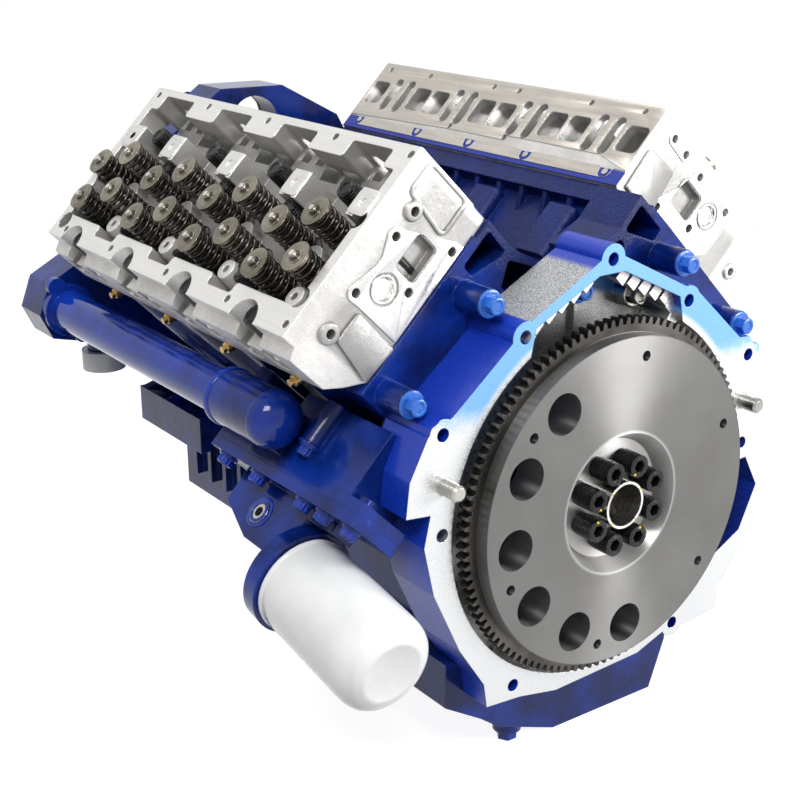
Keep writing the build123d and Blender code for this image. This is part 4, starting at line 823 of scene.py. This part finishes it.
def dressIntakeFaces():
    # the milled intake faces, with ears round the lowest screws
    face = {"low": 285.0, "high": 367.6, "thick": 0.7, "ear": 8.0, "screw": 3.6, "earT": 280.0}
    screws = {
        358.5: (16.7, 98.7, 221.7, 266.7, 386.7, 467.7), 296.0: (194.7, 293.7),
        280.0: (24.7, 145.7, 244.7, 343.7, 468.7),
    }
    ports = {"offset": 43.4, "width": 32.4, "height": 33.4, "mid": 323.0}
    slots = {"offset": 12.8, "width": 15.4, "height": 48.4}
    for side in banks:
        y0, y1 = headEnds(side)
        outline = [(y0 + 0.6, face["low"] + 0.6, 0.6)]
        for place in screws[face["earT"]]:
            outline += [(y0 + place - 11.5, face["low"] - 3.0, -3.0), (y0 + place, face["earT"], face["ear"]),
                        (y0 + place + 11.5, face["low"] - 3.0, -3.0)]
        outline += [(y1 - 0.6, face["low"] + 0.6, 0.6), (y1 - 0.6, face["high"] - 0.6, 0.6),
                    (y0 + 0.6, face["high"] - 0.6, 0.6)]
        loops = [belt(outline)]
        for t, places in screws.items():
            loops += [circle(y0 + place, t, face["screw"], 16) for place in places]
        for index in range(layout["cylinders"]):
            for sign in (-1, 1):
                for hole in (ports, slots):
                    y = cylinderY(side, index) + sign * hole["offset"]
                    wide, tall = hole["width"] / 2, hole["height"] / 2
                    loops.append(slot(y - wide, y + wide, ports["mid"] - tall, ports["mid"] + tall, 7.0))
        bm = bmesh.new()
        addFlat(bm, onIntake(side), loops, -0.3, face["thick"], 0.25)
        finishPiece(f"{side}IntakeFace", bm, "milledWarm")


def dressRearEnds():
    # milled gasket pads, ringed screw bosses and pressed core plugs on the ends that face the rear
    ends = {
        "left": {
            "pad": [(-17.3, 268.0, 0.5), (90.0, 268.0, 1.0), (79.5, 275.0, 9.5), (67.0, 330.0, -4.0),
                    (51.8, 335.0, 9.0), (25.0, 349.5, -16.0), (-10.0, 334.5, 8.6), (-17.3, 322.0, 0.5)],
            "holes": [(-10, 334.5), (51.8, 335), (23.8, 287.8), (79.5, 275)],
            "single": [(79.5, 335.8, 9.0), (-52.5, 332, 10.0)],
            "plug": (10.0, 312.0), "window": (32.0, 70.0, 290.0, 316.0),
            "frame": [(90.0, 300.0, 4.0), (117.0, 300.0, 4.0), (117.0, 344.0, 4.0), (96.0, 344.0, 4.0)],
            "cheek": [(-60.0, 272.0, 3.0), (-26.0, 268.0, 3.0), (-24.0, 318.0, 3.0), (-50.0, 318.0, 4.0)],
        },
        "right": {
            "pad": [(-34.0, 300.0, 3.0), (-6.0, 280.0, 4.0), (62.5, 288.3, 9.0), (58.0, 322.0, -5.0),
                    (35.0, 349.0, 9.0), (8.0, 358.0, -12.0), (-25.8, 348.8, 8.6), (-36.0, 330.0, 3.0)],
            "holes": [(-25.8, 348.8), (35, 349), (6.3, 302.5), (62.5, 288.3)],
            "single": [(-82, 310, 8.5)],
            "plug": (-5.8, 328.0), "window": (15.0, 51.0, 305.0, 335.0),
            "frame": [(70.0, 351.0, 8.0), (95.5, 351.5, 8.0)],
            "cheek": [(68.0, 276.0, 3.0), (112.0, 276.0, 3.0), (112.0, 318.0, 5.0), (76.0, 322.0, 5.0)],
        },
    }
    pad = {"thick": 1.3, "screw": 4.5, "plug": 16.0, "margin": 1.2, "frame": 2.2, "cheek": 3.4}
    for side, end in ends.items():
        milled, cast, plugs = bmesh.new(), bmesh.new(), bmesh.new()
        place = onRear(side, layout["rear"][side])
        w0, w1, t0, t1 = end["window"]
        edge = pad["margin"]
        loops = [belt(end["pad"]), circle(*end["plug"], pad["plug"], 40),
                 slot(w0 - edge, w1 + edge, t0 - edge, t1 + edge, 6.0)]
        loops += [circle(w, t, pad["screw"]) for w, t in end["holes"]]
        addFlat(milled, place, loops, -0.3, pad["thick"], 0.4)
        for w, t, outer in end["single"]:
            spot = place @ Matrix.Translation((w * mm, t * mm, 0))
            addRing(cast, spot, pad["screw"], outer, -0.3, 3.6, 1.0, 1.2)
        if side == "left":
            outer = [(w, t, r + 4.5) for w, t, r in end["frame"]]
            addFlat(cast, place, [belt(outer), belt(end["frame"])], -0.3, pad["frame"], 0.9)
        else:
            holes = [circle(w, t, pad["screw"]) for w, t, r in end["frame"]]
            addFlat(milled, place, [belt(end["frame"])] + holes, -0.3, pad["thick"], 0.4)
        addFlat(cast, place, [belt(end["cheek"])], -0.3, pad["cheek"], 1.5)
        spot = place @ Matrix.Translation((end["plug"][0] * mm, end["plug"][1] * mm, 0))
        addLathe(plugs, spot, (
            (0, -4.0), (13.9, -4.0), (13.9, 0.4), (13.2, 1.2), (12.0, 1.2), (11.0, 0.2), (10.4, -2.2),
            (9.4, -3.0), (2.6, -3.0), (2.4, -2.6), (0, -2.6)), 40)
        finishPiece(f"{side}EndPads", milled, "milled")
        finishPiece(f"{side}EndCasting", cast, "headCasting")
        finishPiece(f"{side}CorePlug", plugs, "brightSteel")


dressRails()
dressIntakeFaces()
dressRearEnds()
print("heads dressed")


# flywheel and its housing


def dressFlywheelBolts():
    bolts = {"pcd": 80.4, "first": 114.8, "count": 8}
    sockets, dots = bmesh.new(), bmesh.new()
    for index in range(bolts["count"]):
        angle = radians(bolts["first"] + 360 / bolts["count"] * index)
        x, z = bolts["pcd"] / 2 * cos(angle), bolts["pcd"] / 2 * sin(angle)
        place = atRear(x, 0, z)
        addLathe(sockets, place, (
            (7.2, 7.0), (7.2, 8.25), (8.9, 8.3), (11.0, 6.9), (11.3, 5.6), (11.3, 4.6)), 36)
        for ridge in range(4):
            height = -14.0 + 4.4 * ridge
            addRing(sockets, place, 10.6, 11.45, height, height + 2.2, 0.3, 0.0, 36)
        if index in (1, 2, 4, 7):
            turn = angle + 2.2 * index
            addRod(dots, atRear(x + 9.3 * cos(turn), 0, z + 9.3 * sin(turn)), 1.7, 7.7, 8.7, 12, 1.1)
    for turn in (0.6, 2.4, 3.9, 5.4):
        addRod(dots, atRear(22.6 * cos(turn), 0, 22.6 * sin(turn)), 1.3, 5.0, 6.0, 12, 0.9)
    finishPiece("flywheelBoltRims", sockets, "blackBolt", "crank")
    finishPiece("paintDots", dots, "yellowDot", "crank")


def dressHousing():
    # tapered fins round the top of the bell, behind the face, and dished bolt heads
    fins = {"count": 5, "front": 36.0, "back": 79.0, "wide": 9.5, "tip": 1.2, "inset": 5.0}
    arch = (
        ((-92, 186), (-16, 223)), ((92, 186), (16, 223)), ((-98, 160), (-92, 186)), ((98, 160), (92, 186)))
    bm = bmesh.new()
    for (x0, z0), (x1, z1) in arch:
        count = fins["count"] if abs(x1) < 20 else 2
        for index in range(count):
            share = (index + 0.5) / count
            x = (x0 + (x1 - x0) * share) * 0.985
            z = z0 + (z1 - z0) * share - fins["inset"]
            place = atRear(x, 0, z)
            addRod(bm, place, fins["tip"], -fins["back"], -fins["front"], 4, fins["wide"])
    finishPiece("housingFins", bm, "milled", bevel=0.8)
    bolts = bmesh.new()
    rear = {"y": 42.0, "places": ((124.66, 208.67), (212.06, 130.60)), "flange": 13.4}
    heads = [(sign * x, rear["y"], z) for x, z in rear["places"] for sign in (-1, 1)]
    heads += [(-6.0, 54.0, 200.0), (66.0, 54.0, 184.0)]
    for x, y, z in heads:
        place = atRear(x, y, z)
        addLathe(bolts, place, ((4.6, -0.4), (8.4, -0.4), (8.2, 0.7), (7.4, 1.1), (5.6, 1.1), (4.6, 0.2)), 28)
        addRing(bolts, place, 8.0, rear["flange"], -12.2, -9.6, 0.8, 0.0, 32)
    finishPiece("housingBoltRims", bolts, "housingBolts")


dressFlywheelBolts()
dressHousing()
print("flywheel and housing dressed")


# left side: filter, cooler and tube


def dressFilter():
    can = {"x": -284.8, "y": 127.0, "z": -53.0, "tilt": 11.0}
    place = Matrix.Translation((can["x"] * mm, can["y"] * mm, can["z"] * mm))
    place = place @ Matrix.Rotation(radians(90 + can["tilt"]), 4, "X")
    bm = bmesh.new()
    addLathe(bm, place, (
        (0, 0.4), (46.0, 0.4), (48.2, 0.8), (49.2, 1.9), (49.4, 3.2), (49.0, 4.6), (48.2, 5.6), (48.0, 7.2),
        (48.3, 8.4), (48.3, 122.0), (48.0, 128.0), (47.1, 133.5), (45.4, 138.2), (42.6, 142.0), (38.6, 144.9),
        (33.0, 146.9), (30.6, 147.7), (28.4, 147.6), (26.8, 146.8), (0, 146.4)), 96)
    piece = finishPiece("filterCan", bm, "filterWhite", crease=50)
    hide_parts("oil_filter")


def dressCooler():
    # twelve-point flange bolts along the joint, and the two long bosses above it
    joint = {"w": -176.0, "t": 214.0, "bolts": (55.0, 98.0, 132.0, 213.0, 274.0)}
    outward = Matrix.Rotation(radians(-90), 4, "Y")
    bm = bmesh.new()
    for y in joint["bolts"]:
        place = onBank("left", joint["w"], y, joint["t"]) @ outward
        addRing(bm, place, 5.0, 10.6, 0.0, 2.6, 0.8)
        addStar(bm, place, 8.7, 2.4, 9.6, 12, 0.88)
        addLathe(bm, place, ((0, 9.4), (7.4, 9.4), (6.8, 10.4), (5.4, 10.4), (4.8, 9.7), (0, 9.7)), 24)
        addRing(bm, place, 8.0, 12.6, -24.0, -0.2, 1.0, 0.0, 32)
        addRing(bm, place, 8.0, 13.4, -14.0, -9.6, 0.8, 0.0, 32)
    posts = {"w": -131.0, "t": 234.0, "places": (150.0, 272.0), "radius": 11.4}
    for y in posts["places"]:
        place = onBank("left", posts["w"], y, posts["t"]) @ outward
        addRing(bm, place, 5.0, posts["radius"] + 1.2, -1.0, 1.8, 0.8)
        addRing(bm, place, 5.0, posts["radius"] - 1.0, 1.6, 4.0, 0.8)
        addStar(bm, place, 8.0, 3.6, 11.0, 12, 0.88)
        addLathe(bm, place, ((0, 10.8), (6.8, 10.8), (6.2, 11.8), (4.8, 11.8), (4.2, 11.1), (0, 11.1)), 24)
    finishPiece("coolerBoltTops", bm, "blueSmooth")


def dressTube():
    # rounded end of the tube's socket, its step, and the hose bead at the front
    tube = {"x": -280.0, "z": 95.2, "rear": 175.0, "step": 257.0, "outer": 28.6, "radius": 23.6}
    bm = bmesh.new()
    place = atRear(tube["x"], tube["rear"], tube["z"])
    outer = tube["outer"]
    addLathe(bm, place, (
        (outer - 3, -6.0), (outer + 0.1, -6.0), (outer, 0.0), (outer - 1.6, 6.0), (outer - 6.0, 12.0),
        (outer - 13.0, 16.4), (outer - 21.0, 18.6), (0, 19.4), (0, 16.0), (outer - 12.0, 12.0)), 48)
    place = atRear(tube["x"], tube["step"], tube["z"])
    addRing(bm, place, tube["radius"], tube["outer"] + 1.2, -3.0, 5.0, 1.6, 0.0, 48)
    addRing(bm, place, tube["radius"], tube["radius"] + 2.4, -8.0, -2.5, 1.6, 0.0, 48)
    finishPiece("tubeSocket", bm, "blueSmooth", crease=45)


def dressPlugs():
    # ringed socket plug in the filter head's pad
    plug = {"w": -206.0, "y": 197.0, "t": 200.0}
    bm = bmesh.new()
    place = onBank("left", plug["w"], plug["y"], plug["t"])
    addRing(bm, place, 8.2, 11.6, 1.6, 3.0, 0.6)
    addRing(bm, place, 12.4, 16.5, -0.4, 1.0, 0.6)
    finishPiece("filterHeadPlugRim", bm, "blueSmooth")


dressFilter()
dressCooler()
dressTube()
dressPlugs()
print("left side dressed")


# valley and front


def dressValley():
    # a stud left standing on the valley floor behind the housing
    stud = {"x": -27.0, "y": 100.0, "floor": 189.5, "top": 222.0}
    bm = bmesh.new()
    place = Matrix.Translation((stud["x"] * mm, stud["y"] * mm, stud["floor"] * mm))
    addRod(bm, place, 3.4, -1.0, stud["top"] - stud["floor"], 20)
    for turn in range(8):
        addRing(bm, place, 3.0, 3.9, 16.0 + 1.9 * turn, 17.0 + 1.9 * turn, 0.3, 0.0, 20)
    addStar(bm, place, 7.0, 5.0, 10.5, 6, 0.87)
    addRing(bm, place, 3.0, 8.4, 3.4, 5.0, 0.5)
    finishPiece("valleyStud", bm, "springSteel")


def dressFront():
    # near-black ring set inside the pump bore, and cover bolts round the front plate
    pump = {"x": -17.0, "z": 288.0, "radius": 39.0, "y": 701.0}
    boreRing = bmesh.new()
    forward = Matrix.Translation((pump["x"] * mm, pump["y"] * mm, pump["z"] * mm)) @ Matrix.Rotation(
        radians(-90), 4, "X")
    addRing(boreRing, forward, pump["radius"] - 5.6, pump["radius"] - 0.1, -19.8, -12.0, 1.0, 0.0, 64)
    finishPiece("pumpBoreRing", boreRing, "darkBore")
    cover = {"y": 701.0, "radius": 9.0, "places": (
        (-140, 0), (-205, 52), (-288, 74), (-294, 118), (-240, 146), (-160, 200), (-132, 262), (-78, 316),
        (16, 322), (82, 290), (132, 216), (148, 120), (150, 30), (100, -58), (0, -62), (-100, -58))}
    bolts = bmesh.new()
    for x, z in cover["places"]:
        place = Matrix.Translation((x * mm, cover["y"] * mm, z * mm)) @ Matrix.Rotation(radians(-90), 4, "X")
        addRing(bolts, place, 4.0, cover["radius"], -0.3, 1.8, 0.5, 0.0, 24)
        addStar(bolts, place, 6.6, 1.6, 7.2, 6, 0.87)
    finishPiece("coverBolts", bolts, "blueSmooth")


dressValley()
dressFront()
print("valley and front dressed")

# floor, light and camera

stage = {"size": 8.0, "glow": 0.90, "tone": 0.36}


def makeFloorMaterial():
    # white to the camera and to mirrors, with a faint shadow left in it
    material, tree, shader = startMaterial("paleFloor", Roughness=1.0)
    feed(tree, shader, "Base Color", colour(stage["tone"], stage["tone"], stage["tone"]))
    feed(tree, shader, "Specular IOR Level", 0.0)
    path = addNode(tree, "ShaderNodeLightPath")
    seen = mathNode(tree, "MAXIMUM", path.outputs["Is Camera Ray"], path.outputs["Is Glossy Ray"])
    seen = mathNode(tree, "MAXIMUM", seen, path.outputs["Is Transmission Ray"])
    feed(tree, shader, "Emission Color", colour(1, 1, 1))
    feed(tree, shader, "Emission Strength", times(tree, seen, stage["glow"]))
    return material


floor = bmesh.new()
bmesh.ops.create_grid(floor, x_segments=1, y_segments=1, size=stage["size"])
bmesh.ops.translate(floor, vec=(0, 0, cadBox[0][2]), verts=floor.verts)
floorMesh = bpy.data.meshes.new("floor")
floor.to_mesh(floorMesh)
floor.free()
floorMesh.materials.append(makeFloorMaterial())
floorPiece = bpy.data.objects.new("floor", floorMesh)
scene.collection.objects.link(floorPiece)

world = bpy.data.worlds.new("studio")
scene.world = world
world.use_nodes = True
sky = world.node_tree
background = sky.nodes["Background"]
path = addNode(sky, "ShaderNodeLightPath")
seen = mathNode(sky, "MAXIMUM", path.outputs["Is Camera Ray"], path.outputs["Is Glossy Ray"])
seen = mathNode(sky, "MAXIMUM", seen, path.outputs["Is Transmission Ray"])
sky.links.new(mixValue(sky, seen, 0.32, 1.0), background.inputs["Strength"])
background.inputs["Color"].default_value = (1, 1, 1, 1)


def addLamp(name, place, aim, size, power):
    lamp = bpy.data.lights.new(name, "AREA")
    lamp.shape = "RECTANGLE"
    lamp.size, lamp.size_y = size
    lamp.energy = power
    holder = bpy.data.objects.new(name, lamp)
    scene.collection.objects.link(holder)
    holder.location = place
    holder.rotation_euler = (Vector(aim) - Vector(place)).to_track_quat("-Z", "Y").to_euler()


lamps = {
    "keyLamp": ((-1.3, -1.0, 1.9), (0, 0.3, 0.1), (1.1, 0.8), 46),
    "wheelLamp": ((1.25, -1.3, 0.45), (0, 0.0, 0.05), (0.7, 0.7), 34),
    "topLamp": ((0.1, 0.6, 2.1), (0, 0.35, 0.2), (1.2, 1.2), 18),
}
for name, (place, aim, size, power) in lamps.items():
    addLamp(name, place, aim, size, power)

shot = bpy.data.cameras.new("camera")
shot.lens = 65.91
shot.sensor_width = 36
camera = bpy.data.objects.new("camera", shot)
scene.collection.objects.link(camera)
look = Vector((0.55109, 0.76523, -0.33274)).normalized()
right = look.cross(Vector((0.19749, 0.26781, 0.94301))).normalized()
facing = Matrix((right, right.cross(look), -look)).transposed().to_4x4()
camera.matrix_world = Matrix.Translation((-0.93278, -0.93015, 0.56555)) @ facing
scene.camera = camera
print("floor, light and camera set")
